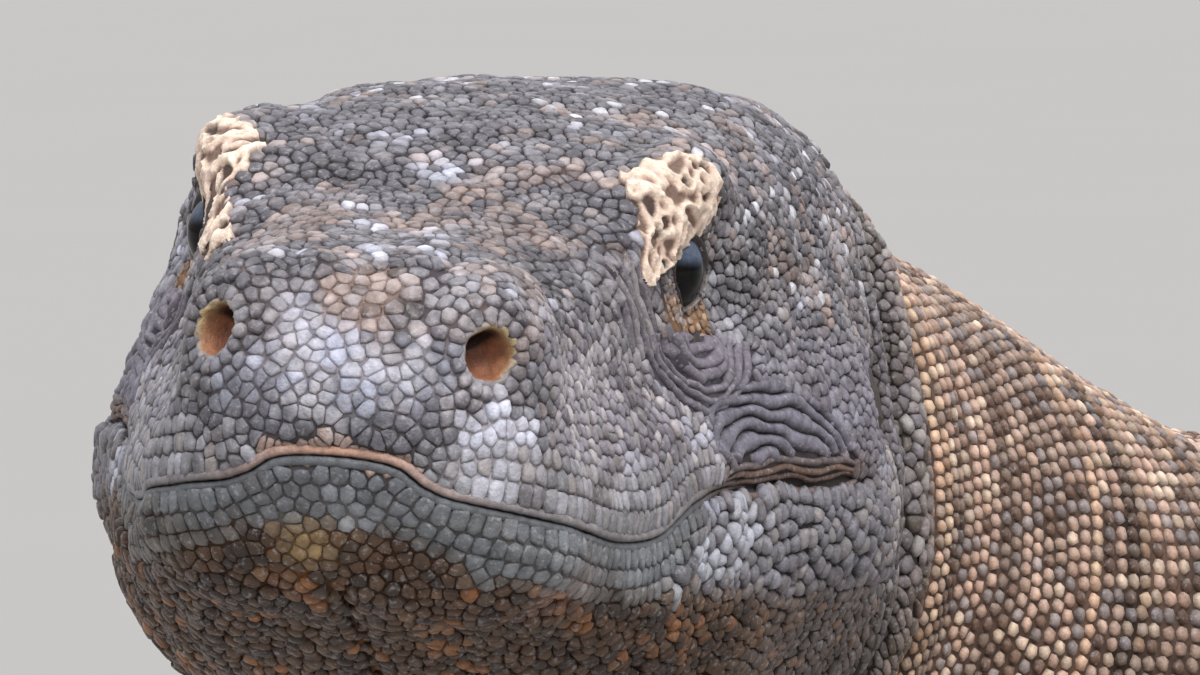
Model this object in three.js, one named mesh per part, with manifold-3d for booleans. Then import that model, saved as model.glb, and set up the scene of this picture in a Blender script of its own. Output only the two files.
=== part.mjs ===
// Komodo dragon (Varanus komodoensis), a whole adult standing on four feet with
// its head raised and turned a little to its left.
// Millimetres, +Z up. The animal faces -Y and its own left side is +X. The
// origin is at the middle of the outline, on the floor.
import * as THREE from 'three';
import { mergeVertices } from 'three/addons/utils/BufferGeometryUtils.js';
import { ParametricGeometry } from 'three/addons/geometries/ParametricGeometry.js';
import Module from 'manifold-3d';

const wasm = await Module();
wasm.setup();

// ---------------------------------------------------------------- dimensions
const GAP = 0.3;                 // clear space between neighbouring solids
const HALF_GAP = GAP / 2;

// The head, measured from the front of the mouth: its height over the floor,
// and how far the head is turned left, raised and tilted (degrees).
const MOUTH_HEIGHT = 455;
const HEAD_YAW = 22.1;
const HEAD_PITCH = 5.64;         // the snout is higher than the back of the head
const HEAD_ROLL = 4.27;          // the left side lies lower
const ORIGIN_X = -98.33;         // the middle of the outline, from the mouth
const ORIGIN_Y = 1163.86;

// Distances along the spine, from the front of the mouth.
const SNOUT_CAP = 40;            // length over which the snout rounds off
const MOUTH_CORNER = 170;
const JAW_END = 190;
const HEAD_END = 228;
const NECK_END = 425;
const VENT = 1262;
const TAIL_SPLIT_1 = 1560;
const TAIL_SPLIT_2 = 2040;
const TAIL_TIP = 2560;

// Heading of the spine (degrees, 0 = straight back), height of its line over
// the floor, and roll, at distances along it.
const headHeight = (d) => MOUTH_HEIGHT - d * Math.sin((HEAD_PITCH * Math.PI) / 180);
const SPINE_YAW = [[-20, HEAD_YAW], [0, HEAD_YAW], [120, HEAD_YAW], [180, 20.5], [215, 18], [260, 12.5], [320, 5.5], [400, 0],
  [520, -4], [700, -3], [900, 3], [1080, 4], [1262, -4], [1400, -16], [1560, -26], [1760, -26],
  [1950, -8], [2130, 18], [2320, 36], [2480, 40], [2560, 36]];
const SPINE_HEIGHT = [[-20, headHeight(-20)], [0, headHeight(0)], [120, headHeight(120)], [205, headHeight(205)],
  [265, 421], [330, 396], [400, 363],
  [470, 331], [560, 306], [700, 289], [860, 281.5], [1000, 283.5], [1120, 290], [1200, 283],
  [1290, 248], [1390, 190], [1500, 127], [1610, 78], [1720, 51], [1850, 36.5], [1990, 28.6],
  [2140, 22.4], [2300, 16], [2430, 10.6], [2520, 7], [2560, 5.6]];
const SPINE_ROLL = [[-20, HEAD_ROLL], [0, HEAD_ROLL], [120, HEAD_ROLL], [215, HEAD_ROLL], [300, 2.4], [400, 0], [2560, 0]];
// The flesh behind the jaws bunches on the side the head is turned to.
const LEAN = [[0, 0], [110, 0], [150, 1.2], [180, 2.6], [210, 3.6], [245, 3.6], [310, 2], [400, 0], [2560, 0]];

// Half outline of the head across the spine, from the crown round the left
// side to the throat, as (half width, height) of each line along the head.
const HEAD_LINES = ['distance', 'crownZ', 'browY', 'browZ', 'cheekY', 'cheekZ', 'lipY', 'lipZ',
  'jawY', 'jawZ', 'gularY', 'gularZ', 'throatZ'];
const HEAD_ROWS = [
  [20, 40.5, 26, 35, 34.5, 15, 41.5, -8, 36, -20, 21, -25.5, -27],
  [40, 43, 27.5, 37, 38, 17, 44, -10.5, 40, -23, 24, -30, -32],
  [60, 47.5, 31, 41, 43, 20, 49, -12, 46, -26, 28, -36, -39],
  [80, 54, 35.5, 48, 48, 23, 54, -8.6, 51, -28, 32, -42, -46],
  [100, 62.5, 43, 57, 52.5, 27, 59, -1.2, 56, -29, 36, -47, -52],
  [120, 69, 47, 62, 57, 31, 64, 0.6, 61, -29.5, 40, -51, -57],
  [140, 73, 46, 65, 60.5, 34, 70, 1.5, 65, -30, 42, -54, -61],
  [160, 75.5, 45.5, 68, 63, 37, 75.5, 2, 68, -31, 44, -57, -65],
  [180, 77.5, 44.5, 71.5, 65, 40, 79, 2.5, 69.5, -32.5, 46, -60, -69],
  [200, 78.5, 44, 72.5, 65, 42, 79, 1, 70.5, -36, 48, -63, -72],
  [220, 78, 43.5, 71.5, 65, 42, 78, -2, 71.5, -40, 51, -67, -76],
];
// Neck, trunk and tail: half width, height over the spine line, depth under
// it, and squareness of the outline.
const BODY_ROWS = [
  [240, 73.5, 76, 82, 2.0], [290, 80, 80, 88, 2.0], [350, 95, 88, 98, 2.06], [420, 113, 93.5, 112, 2.12],
  [500, 128, 102, 131, 2.25], [580, 135, 108, 144, 2.25], [700, 149, 113, 156, 2.2], [850, 157, 115, 158, 2.2],
  [980, 146, 113, 148, 2.15], [1080, 124, 109, 128, 2.1], [1170, 99, 99, 104, 2.1], [1262, 75, 84, 78, 2.1],
  [1350, 60, 74, 66, 2.05], [1480, 48, 65, 57, 2.0], [1610, 39, 58, 51, 1.95], [1760, 30.5, 49, 43, 1.9],
  [1900, 24, 40, 35, 1.9], [2080, 17.5, 29.5, 26.8, 1.9], [2260, 12, 21, 19.4, 1.9], [2400, 8, 14, 13.4, 1.9],
  [2500, 5.4, 9.2, 9.2, 1.9], [2560, 4.4, 7, 7.2, 1.9]];
const LINE_ANGLES = [0, 20, 40, 58, 75, 95, 122, 150, 180];   // of the lines round the body

// Rounded forms on the head: centre (distance, half width, height), reach in
// the three directions, and how far they stand out.
const HEAD_FORMS = [
  ['brow_ridge', [111, 47, 59], [19, 11, 10], 4.4],
  ['brow_front', [97, 40, 54], [11, 9, 9], 1.6],
  ['eye_socket', [109, 53, 41], [17, 12, 12], -5.6],
  ['under_eye', [111, 58, 23], [22, 12, 10], 1.6],
  ['nostril_bulge', [15, 27, 24], [13, 13, 13], 2.6],
  ['snout_bridge', [8, 0, 30], [14, 13, 11], 0.8],
  ['forehead_dip', [82, 0, 58], [26, 20, 14], -1.8],
  ['loreal_hollow', [62, 45, 22], [28, 14, 13], -1.8],
  ['upper_lip', [60, 51, -3], [60, 14, 7], 1.0],
  ['jowl', [166, 78, -12], [26, 14, 17], 2.2],
  ['temple', [156, 62, 46], [26, 16, 20], 1.4],
  ['ear_pit', [200, 79, 20], [10, 10, 13], -3.2],
  ['mouth_corner', [176, 80, 3], [9, 10, 7], -2.4],
  ['back_of_skull', [205, 40, 77], [30, 14, 12], 1.2],
];
// The back of the skull is less rolled than the face: its left side rises and its right side falls by this share.
const CROWN_TILT = 0.075;
const SNOUT_OVERHANG = 3.2;      // of the upper snout past the mouth line
const CHIN_SETBACK = 2.6;

// Mouth line seen from the side: distance from its front, height.
const MOUTH_LINE = [[-14, 1.2], [0, 0.4], [2, -0.7], [4, -3.6], [8, -6.1], [16, -7.5], [25, -8.7], [37, -10.1],
  [56, -11.8], [68, -11.2], [78, -8.9], [87, -4], [100, -1.2], [123, 0.8], [145, 1.8], [170, 2.1]];

// Forms on the body: distance, angle from the back line (degrees), reach
// along, reach round (degrees), height.
const BODY_FORMS = [
  ['nape_fold', 246, 96, 9, 48, 2.6],
  ['collar_groove', 232, 84, 6.5, 55, -2.8],
  ['collar_groove_2', 262, 90, 7, 60, -2.2],
  ['throat_fold', 270, 160, 16, 34, 4],
  ['shoulder_blade', 478, 52, 50, 26, 7],
  ['shoulder_mass', 515, 92, 52, 28, 6],
  ['behind_shoulder', 590, 76, 32, 34, -5],
  ['flank_fold', 960, 112, 46, 30, -5],
  ['hip_bone', 1075, 58, 55, 24, 7],
  ['hip_mass', 1110, 98, 60, 30, 8],
  ['spine_hollow', 760, 0, 210, 13, -2.5],
  ['neck_side', 372, 104, 40, 26, -2.5],
];

// Eyes and ears, in the head's own frame (half width, distance, height).
const EYE_RADIUS = 10.3;
const EYE_AT = [40.8, 108.6, 40.6];
const NOSTRIL_AT = [26.2, 11.5, 22];
const NOSTRIL_SIZE = [9, 6.2, 5.2];
const EAR_AT = [71.4, 200, 20];
const EAR_SIZE = [2.8, 6.4, 9.2];

// Legs: station on the spine, then points out from the spine line, back from
// that station and over the floor, with the leg's half width and half depth.
const LEGS = {
  front: {
    station: 500,
    upper: [[40, -6, 274, 60, 56], [92, 2, 248, 57, 54], [134, 26, 206, 44, 43], [170, 48, 166, 36, 37]],
    lower: [[170, 48, 166, 36, 37], [181, 36, 130, 38, 40], [192, 14, 88, 30, 32], [197, 0, 54, 26, 26], [199, -2, 17, 27, 25]],
    wrist: 0.74, splay: 24,
    palm: { ahead: 18, size: [41, 42, 18], height: 13 },
    toes: [[-26, 20, -40, 46, 9.6], [-15, 32, -17, 58, 10.2], [0, 37, 4, 64, 10.6], [15, 32, 25, 60, 10.2], [26, 18, 54, 50, 9.6]],
    claw: 30,
  },
  hind: {
    station: 1100,
    upper: [[30, 10, 276, 72, 68], [84, 0, 254, 68, 66], [140, -32, 220, 55, 56], [184, -60, 182, 42, 44]],
    lower: [[184, -60, 182, 42, 44], [196, -38, 144, 44, 45], [205, -6, 102, 33, 35], [210, 14, 62, 28, 28], [212, 16, 18, 28, 27]],
    wrist: 0.75, splay: 20,
    palm: { ahead: 20, size: [39, 56, 19], height: 14 },
    toes: [[-24, 38, -34, 48, 10.2], [-13, 54, -14, 62, 10.8], [1, 61, 2, 76, 11.2], [15, 54, 18, 88, 11.2], [27, 12, 46, 66, 10]],
    claw: 27,
  },
};
// Each foot's step: how far it is set back (+) or forward (-) of even.
const STEPS = { front_left: -26, front_right: 34, hind_left: 30, hind_right: -24 };

// How finely the solids are divided.
const AROUND_HEAD = 30;
const AROUND_BODY = 20;
const AROUND_LEG = 8;
const AROUND_TOE = 6;

// ------------------------------------------------------------------- colours
const finish = (color, roughness) => new THREE.MeshStandardMaterial({ color, roughness, metalness: 0 });
const COLOURS = {
  head: '#5c5a60', lower_jaw: '#6e5c4a', neck: '#6b5a4e', trunk: '#7a6653', tail: '#6a5a4b',
  leg: '#6f5d4e', foot: '#5d5047', claw: '#24201d', eye: '#120d0b', ear: '#3a312c',
};

// ------------------------------------------------------------ small functions
const rad = THREE.MathUtils.degToRad;
const clamp = (x, a, b) => Math.min(b, Math.max(a, x));
const bell = (x, reach) => Math.exp(-(x * x) / (reach * reach));

// A smooth curve through [x, value] rows that never overshoots them.
function track(rows, column = 1) {
  const x = rows.map((r) => r[0]);
  const y = rows.map((r) => r[column]);
  const n = x.length;
  const slope = [];
  for (let i = 0; i < n - 1; i++) slope.push((y[i + 1] - y[i]) / (x[i + 1] - x[i]));
  const tangent = [slope[0]];
  for (let i = 1; i < n - 1; i++) {
    const h0 = x[i] - x[i - 1];
    const h1 = x[i + 1] - x[i];
    tangent.push(slope[i - 1] * slope[i] <= 0 ? 0
      : (3 * (h0 + h1)) / ((2 * h1 + h0) / slope[i - 1] + (h1 + 2 * h0) / slope[i]));
  }
  tangent.push(slope[n - 2]);
  return (s) => {
    const t0 = clamp(s, x[0], x[n - 1]);
    let i = 0;
    while (i < n - 2 && t0 > x[i + 1]) i++;
    const h = x[i + 1] - x[i];
    const t = (t0 - x[i]) / h;
    const t2 = t * t;
    const t3 = t2 * t;
    return (2 * t3 - 3 * t2 + 1) * y[i] + (t3 - 2 * t2 + t) * h * tangent[i]
      + (-2 * t3 + 3 * t2) * y[i + 1] + (t3 - t2) * h * tangent[i + 1];
  };
}

// ----------------------------------------------------------------- the spine
const yawAt = track(SPINE_YAW);
const heightAt = track(SPINE_HEIGHT);
const rollAt = track(SPINE_ROLL);
const leanAt = track(LEAN);
const SPINE_STEP = 2;
const spineLine = [];            // x, y at each step along the spine
{
  let x = 0;
  let y = 0;
  const direction = (s) => {
    const dz = (heightAt(s + 0.5) - heightAt(s - 0.5));
    const flat = Math.sqrt(Math.max(0, 1 - dz * dz));
    const a = rad(yawAt(s));
    return [-Math.sin(a) * flat, Math.cos(a) * flat, dz];
  };
  for (let s = -20; s < 0; s += SPINE_STEP) {
    const d = direction(s + SPINE_STEP / 2);
    x -= d[0] * SPINE_STEP;
    y -= d[1] * SPINE_STEP;
  }
  for (let s = -20; s <= TAIL_TIP + 20; s += SPINE_STEP) {
    spineLine.push([x, y]);
    const d = direction(s + SPINE_STEP / 2);
    x += d[0] * SPINE_STEP;
    y += d[1] * SPINE_STEP;
  }
}
function spineAt(s) {
  const f = clamp((s + 20) / SPINE_STEP, 0, spineLine.length - 1.001);
  const i = Math.floor(f);
  const t = f - i;
  const a = spineLine[i];
  const b = spineLine[i + 1];
  const centre = new THREE.Vector3(a[0] + (b[0] - a[0]) * t, a[1] + (b[1] - a[1]) * t, heightAt(s));
  const dz = clamp(heightAt(s + 0.5) - heightAt(s - 0.5), -0.98, 0.98);
  const turn = new THREE.Matrix4().makeRotationZ(rad(yawAt(s)))
    .multiply(new THREE.Matrix4().makeRotationX(Math.asin(dz)))
    .multiply(new THREE.Matrix4().makeRotationY(rad(rollAt(s))));
  const left = new THREE.Vector3();
  const back = new THREE.Vector3();
  const up = new THREE.Vector3();
  turn.extractBasis(left, back, up);
  return { centre, left, back, up };
}

// ------------------------------------------------------------- body outlines
const headLine = Object.fromEntries(HEAD_LINES.slice(1).map((name, i) => [name, track(HEAD_ROWS, i + 1)]));
const bodyLine = [1, 2, 3, 4].map((c) => track(BODY_ROWS, c));
const smooth = (t) => t * t * (3 - 2 * t);

function headLines(d) {
  const g = (n) => Math.pow(1 - Math.pow(1 - clamp(d / SNOUT_CAP, 0, 1), n), 1 / n);
  const at = Math.max(d, SNOUT_CAP);
  const h = (name) => headLine[name](at);
  const wide = g(2.0);
  const middle = 4;
  const high = (z) => middle * Math.min(1, wide * 1.6) + (z - middle) * (z > middle ? g(2.15) : g(2.0));
  const bulge = 2.6 + 1.2 * smooth(clamp((at - 112) / 40, 0, 1)) + 1.5 * smooth(clamp((80 - at) / 30, 0, 1));
  return [
    [0, high(h('crownZ'))],
    [h('browY') * 0.52 * wide, high(h('crownZ') - (h('crownZ') - h('browZ')) * 0.16)],
    [h('browY') * wide, high(h('browZ'))],
    [((h('browY') + h('cheekY')) / 2 + bulge * 0.85) * wide, high((h('browZ') + h('cheekZ')) / 2 + bulge * 0.52)],
    [h('cheekY') * wide, high(h('cheekZ'))],
    [h('lipY') * wide, high(h('lipZ'))],
    [h('jawY') * wide, high(h('jawZ'))],
    [h('gularY') * wide, high(h('gularZ'))],
    [0, high(h('throatZ'))],
  ];
}
function bodyLines(s) {
  const [w, up, down, n] = bodyLine.map((f) => f(s));
  return LINE_ANGLES.map((deg) => {
    const c = Math.cos(rad(deg));
    const k = Math.sin(rad(deg));
    return [w * Math.pow(Math.abs(k), 2 / n), Math.sign(c) * (c > 0 ? up : down) * Math.pow(Math.abs(c), 2 / n)];
  });
}
function linesAt(s) {
  const a = Math.min(s, 220);
  if (s <= 220) return headLines(a);
  const t = smooth(clamp((s - 220) / 90, 0, 1));
  const head = headLines(220);
  const body = bodyLines(s);
  return t >= 1 ? body : head.map((p, i) => [p[0] + (body[i][0] - p[0]) * t, p[1] + (body[i][1] - p[1]) * t]);
}
// A closed smooth outline through the lines on both sides; u runs once round
// from the crown, down the left side and up the right.
function outlineAt(s, u) {
  const half = linesAt(s);
  const n = half.length - 1;
  const ring = (i) => {
    const k = ((i % (2 * n)) + 2 * n) % (2 * n);
    return k <= n ? half[k] : [-half[2 * n - k][0], half[2 * n - k][1]];
  };
  const f = u * 2 * n;
  const i = Math.floor(f);
  const t = f - i;
  const [p0, p1, p2, p3] = [ring(i - 1), ring(i), ring(i + 1), ring(i + 2)];
  const mix = (k) => 0.5 * (2 * p1[k] + (p2[k] - p0[k]) * t + (2 * p0[k] - 5 * p1[k] + 4 * p2[k] - p3[k]) * t * t
    + (3 * p1[k] - p0[k] - 3 * p2[k] + p3[k]) * t * t * t);
  return [mix(0), mix(1)];
}
// Point of the skin in the spine's own frame (left, back, up), before the
// rounded forms are added.
function plainPoint(s, u) {
  const [y, z] = outlineAt(s, u);
  const front = clamp(1 - s / 32, 0, 1);
  const shift = front * (CHIN_SETBACK * bell(z + 14, 9) - SNOUT_OVERHANG * bell(z - 13, 12));
  const tilt = CROWN_TILT * y * smooth(clamp((s - 118) / 60, 0, 1)) * (1 - smooth(clamp((s - 215) / 60, 0, 1))) * smooth(clamp((z - 10) / 45, 0, 1));
  return new THREE.Vector3(y + leanAt(s), s + shift, z + tilt);
}
function formHeight(p, s, u) {
  let out = 0;
  if (s < 240) {
    for (const [, at, reach, high] of HEAD_FORMS) {
      const e = ((p.y - at[0]) / reach[0]) ** 2 + ((Math.abs(p.x - leanAt(s)) - at[1]) / reach[1]) ** 2 + ((p.z - at[2]) / reach[2]) ** 2;
      if (e < 9) out += high * Math.exp(-e);
    }
  }
  if (s > 200) {
    const round = 360 * Math.min(u, 1 - u);
    for (const [, at, angle, along, across, high] of BODY_FORMS) {
      const e = ((s - at) / along) ** 2 + ((round - angle) / across) ** 2;
      if (e < 9) out += high * Math.exp(-e);
    }
  }
  return out;
}
function localPoint(s, u, grow = 0) {
  const p = plainPoint(s, u);
  const e = 0.002;
  const along = plainPoint(s + 0.5, u).sub(plainPoint(Math.max(0.01, s - 0.5), u));
  const round = plainPoint(s, (u + e) % 1).sub(plainPoint(s, (u - e + 1) % 1));
  const normal = along.cross(round).normalize();
  if (normal.x * p.x + normal.z * p.z < 0) normal.negate();
  return p.addScaledVector(normal, formHeight(p, s, u) + grow);
}
function toWorld(s, p) {
  const f = spineAt(s);
  return f.centre.clone().addScaledVector(f.left, p.x).addScaledVector(f.back, p.y - s).addScaledVector(f.up, p.z);
}
const headWorld = (x, d, z) => toWorld(0, new THREE.Vector3(x, d, z));

// -------------------------------------------------------------- solid making
function solid(geometry) {
  const g = geometry.clone();
  for (const name of ['normal', 'uv']) g.deleteAttribute(name);
  const m = mergeVertices(g, 1e-3);
  const position = m.getAttribute('position').array;
  const tri = [];
  for (let i = 0; i < m.index.count; i += 3) {
    const [a, b, c] = [m.index.getX(i), m.index.getX(i + 1), m.index.getX(i + 2)];
    if (a !== b && b !== c && a !== c) tri.push(a, b, c);
  }
  let volume = 0;
  const v = (i) => new THREE.Vector3().fromArray(position, 3 * i);
  for (let i = 0; i < tri.length; i += 3) volume += v(tri[i]).dot(v(tri[i + 1]).cross(v(tri[i + 2])));
  if (volume < 0) for (let i = 0; i < tri.length; i += 3) [tri[i], tri[i + 1]] = [tri[i + 1], tri[i]];
  return new wasm.Manifold(new wasm.Mesh({ numProp: 3, vertProperties: new Float32Array(position), triVerts: new Uint32Array(tri) }));
}
function toGeometry(manifold) {
  const m = manifold.getMesh();
  const g = new THREE.BufferGeometry();
  g.setAttribute('position', new THREE.BufferAttribute(new Float32Array(m.vertProperties), 3));
  g.setIndex(new THREE.BufferAttribute(new Uint32Array(m.triVerts), 1));
  g.computeVertexNormals();
  return g;
}
// A closed skin through rings: ring(v, u) gives a point, v runs over the list
// of stations, and the two ends close on the middle of their own rings.
function loft(stations, ring, around, closeStart = true, closeEnd = true) {
  const list = [...stations];
  const middle = (s) => {
    const m = new THREE.Vector3();
    for (let i = 0; i < around; i++) m.add(ring(s, i / around));
    return m.divideScalar(around);
  };
  const first = closeStart ? middle(list[0]) : null;
  const last = closeEnd ? middle(list[list.length - 1]) : null;
  const rows = list.length - 1 + (first ? 1 : 0) + (last ? 1 : 0);
  const g = new ParametricGeometry((u, v, target) => {
    let row = Math.round(v * rows);
    if (first && row === 0) return target.copy(first);
    if (last && row === rows) return target.copy(last);
    row -= first ? 1 : 0;
    return target.copy(ring(list[row], (Math.round(u * around) % around) / around));
  }, around, rows);
  return solid(g);
}
// A very large block whose one face passes through a point, for plain cuts.
function block(point, normal) {
  const size = 3000;
  const m = new THREE.Matrix4().lookAt(new THREE.Vector3(), normal.clone().negate(), Math.abs(normal.z) > 0.9 ? new THREE.Vector3(0, 1, 0) : new THREE.Vector3(0, 0, 1));
  const g = new THREE.BoxGeometry(size, size, size);
  g.translate(0, 0, size / 2);
  g.applyMatrix4(m);
  g.translate(point.x, point.y, point.z);
  return solid(g);
}
const floorBlock = block(new THREE.Vector3(0, 1000, 0), new THREE.Vector3(0, 0, 1));

function spread(from, to, count) {
  return Array.from({ length: count }, (_, i) => from + ((to - from) * i) / (count - 1));
}
const skinRing = (grow) => (s, u) => toWorld(s, localPoint(s, u, grow));

// ------------------------------------------------------------------ the body
const root = new THREE.Group();
const parts = {};

// Head and lower jaw: one rounded form, cut along the mouth line.
const snoutStations = spread(0.12, 1, 6).map((t) => SNOUT_CAP * (1 - Math.cos((t * Math.PI) / 2)));
const headStations = [...snoutStations, 51, 63, 74, 83, 91, 98, 104, 110, 116, 123, 133, 147, 161, 175, 187, 200, 213, HEAD_END - HALF_GAP];
const headWhole = loft(headStations, skinRing(0), AROUND_HEAD);

function mouthCutter(drop) {
  const line = track(MOUTH_LINE);
  const shape = new THREE.Shape();
  shape.moveTo(-40, line(-14) - drop);
  for (const [d] of MOUTH_LINE) shape.lineTo(d, line(d) - drop);
  shape.lineTo(MOUTH_CORNER + 8 - drop, -12 - drop);
  shape.lineTo(JAW_END - 4 - drop, -40);
  shape.lineTo(JAW_END - drop, -140);
  shape.lineTo(-40, -140);
  shape.closePath();
  const g = new THREE.ExtrudeGeometry(shape, { depth: 400, bevelEnabled: false });
  g.translate(0, 0, -200);
  // the shape's x is the distance back and its y the height
  const m = new THREE.Matrix4().makeBasis(new THREE.Vector3(0, 1, 0), new THREE.Vector3(0, 0, 1), new THREE.Vector3(1, 0, 0));
  g.applyMatrix4(m);
  const f = spineAt(0);
  g.applyMatrix4(new THREE.Matrix4().makeBasis(f.left, f.back, f.up).setPosition(f.centre));
  return solid(g);
}
const ellipsoid = (at, size, wide, high, grow = 0) => {
  const g = new THREE.SphereGeometry(1, wide, high);
  g.scale(size[0] + grow, size[1] + grow, size[2] + grow);
  g.rotateY(at.tilt || 0);
  g.rotateZ(at.turn || 0);
  g.translate(at.x, at.d, at.z);
  const f = spineAt(0);
  g.applyMatrix4(new THREE.Matrix4().makeBasis(f.left, f.back, f.up).setPosition(f.centre));
  return g;
};
let skull = headWhole.subtract(mouthCutter(0));
for (const side of [1, -1]) {
  const name = side > 0 ? 'left' : 'right';
  const eye = { x: side * EYE_AT[0], d: EYE_AT[1], z: EYE_AT[2] };
  const ear = { x: side * EAR_AT[0] + leanAt(EAR_AT[1]), d: EAR_AT[1], z: EAR_AT[2], turn: side * rad(6), tilt: -side * rad(20) };
  const nostril = { x: side * NOSTRIL_AT[0], d: NOSTRIL_AT[1], z: NOSTRIL_AT[2], turn: side * rad(35) };
  const ball = (grow) => ellipsoid(eye, [EYE_RADIUS, EYE_RADIUS, EYE_RADIUS], 9, 7, grow);
  skull = skull.subtract(solid(ball(GAP)));
  parts[`eye_${name}`] = [solid(ball(0)), 'eye', 0.08];
  skull = skull.subtract(solid(ellipsoid(nostril, NOSTRIL_SIZE, 8, 5)));
  skull = skull.subtract(solid(ellipsoid(ear, EAR_SIZE, 8, 5, GAP)));
  parts[`ear_${name}`] = [solid(ellipsoid(ear, EAR_SIZE, 8, 5)), 'ear', 0.6];
}
parts.head = [skull, 'head', 0.62];
parts.lower_jaw = [headWhole.intersect(mouthCutter(GAP)), 'lower_jaw', 0.66];

// Neck, trunk and tail: lengths of the same form, parted by thin plain cuts.
const bodyLength = (from, to, stations, around, end = true) => {
  const list = [from + HALF_GAP, ...stations.filter((s) => s > from + 2 && s < to - 2), end ? to - HALF_GAP : to];
  return loft(list, skinRing(0), around);
};
parts.neck = [bodyLength(HEAD_END, NECK_END, [237, 246, 255, 268, 290, 325, 365, 400], AROUND_BODY), 'neck', 0.72];
const trunkStations = [452, 484, 520, 560, 600, 660, 740, 830, 910, 970, 1030, 1080, 1130, 1175, 1218];
parts.trunk = [bodyLength(NECK_END, VENT, trunkStations, AROUND_BODY), 'trunk', 0.74];
const onFloor = (m) => m.intersect(floorBlock);
parts.tail_base = [bodyLength(VENT, TAIL_SPLIT_1, [1300, 1350, 1410, 1480], 18), 'tail', 0.74];
parts.tail_middle = [onFloor(bodyLength(TAIL_SPLIT_1, TAIL_SPLIT_2, [1610, 1670, 1740, 1820, 1900, 1970], 14)), 'tail', 0.74];
parts.tail_tip = [onFloor(bodyLength(TAIL_SPLIT_2, TAIL_TIP, [2110, 2190, 2270, 2350, 2430, 2500], 10)), 'tail', 0.74];

// ------------------------------------------------------------------ the legs
// A round limb through points, each with the half width (level) and half depth
// there. A domed end goes on past its last point; face turns its first section.
function limb(points, sizes, around, perPart, domes = [false, false], face = null) {
  const path = new THREE.CatmullRomCurve3(points, false, 'centripetal');
  const n = points.length - 1;
  const sizeAt = [0, 1].map((k) => track(sizes.map((p, i) => [i / n, p[k]])));
  const rings = spread(0, 1, n * perPart + 1).map((t) => ({ t, shift: 0, scale: 1 }));
  const dome = (t, sign) => [42, 72].map((deg) => ({
    t, shift: sign * Math.sin(rad(deg)) * Math.min(sizeAt[0](t), sizeAt[1](t)), scale: Math.cos(rad(deg)),
  }));
  if (domes[0]) rings.unshift(...dome(0, -1).reverse());
  if (domes[1]) rings.push(...dome(1, 1));
  const ring = ({ t, shift, scale }, u) => {
    const c = path.getPoint(t);
    const dir = face && t === 0 ? face.clone() : path.getTangent(t);
    const side = new THREE.Vector3().crossVectors(dir, new THREE.Vector3(0, 0, 1)).normalize();
    const other = new THREE.Vector3().crossVectors(side, dir).normalize();
    const a = u * 2 * Math.PI;
    return c.addScaledVector(dir, shift).addScaledVector(side, Math.cos(a) * sizeAt[0](t) * scale)
      .addScaledVector(other, Math.sin(a) * sizeAt[1](t) * scale);
  };
  return loft(rings, ring, around);
}
const bodyCut = loft([NECK_END - 60, NECK_END, ...trunkStations, VENT], skinRing(GAP), AROUND_BODY);

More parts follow.
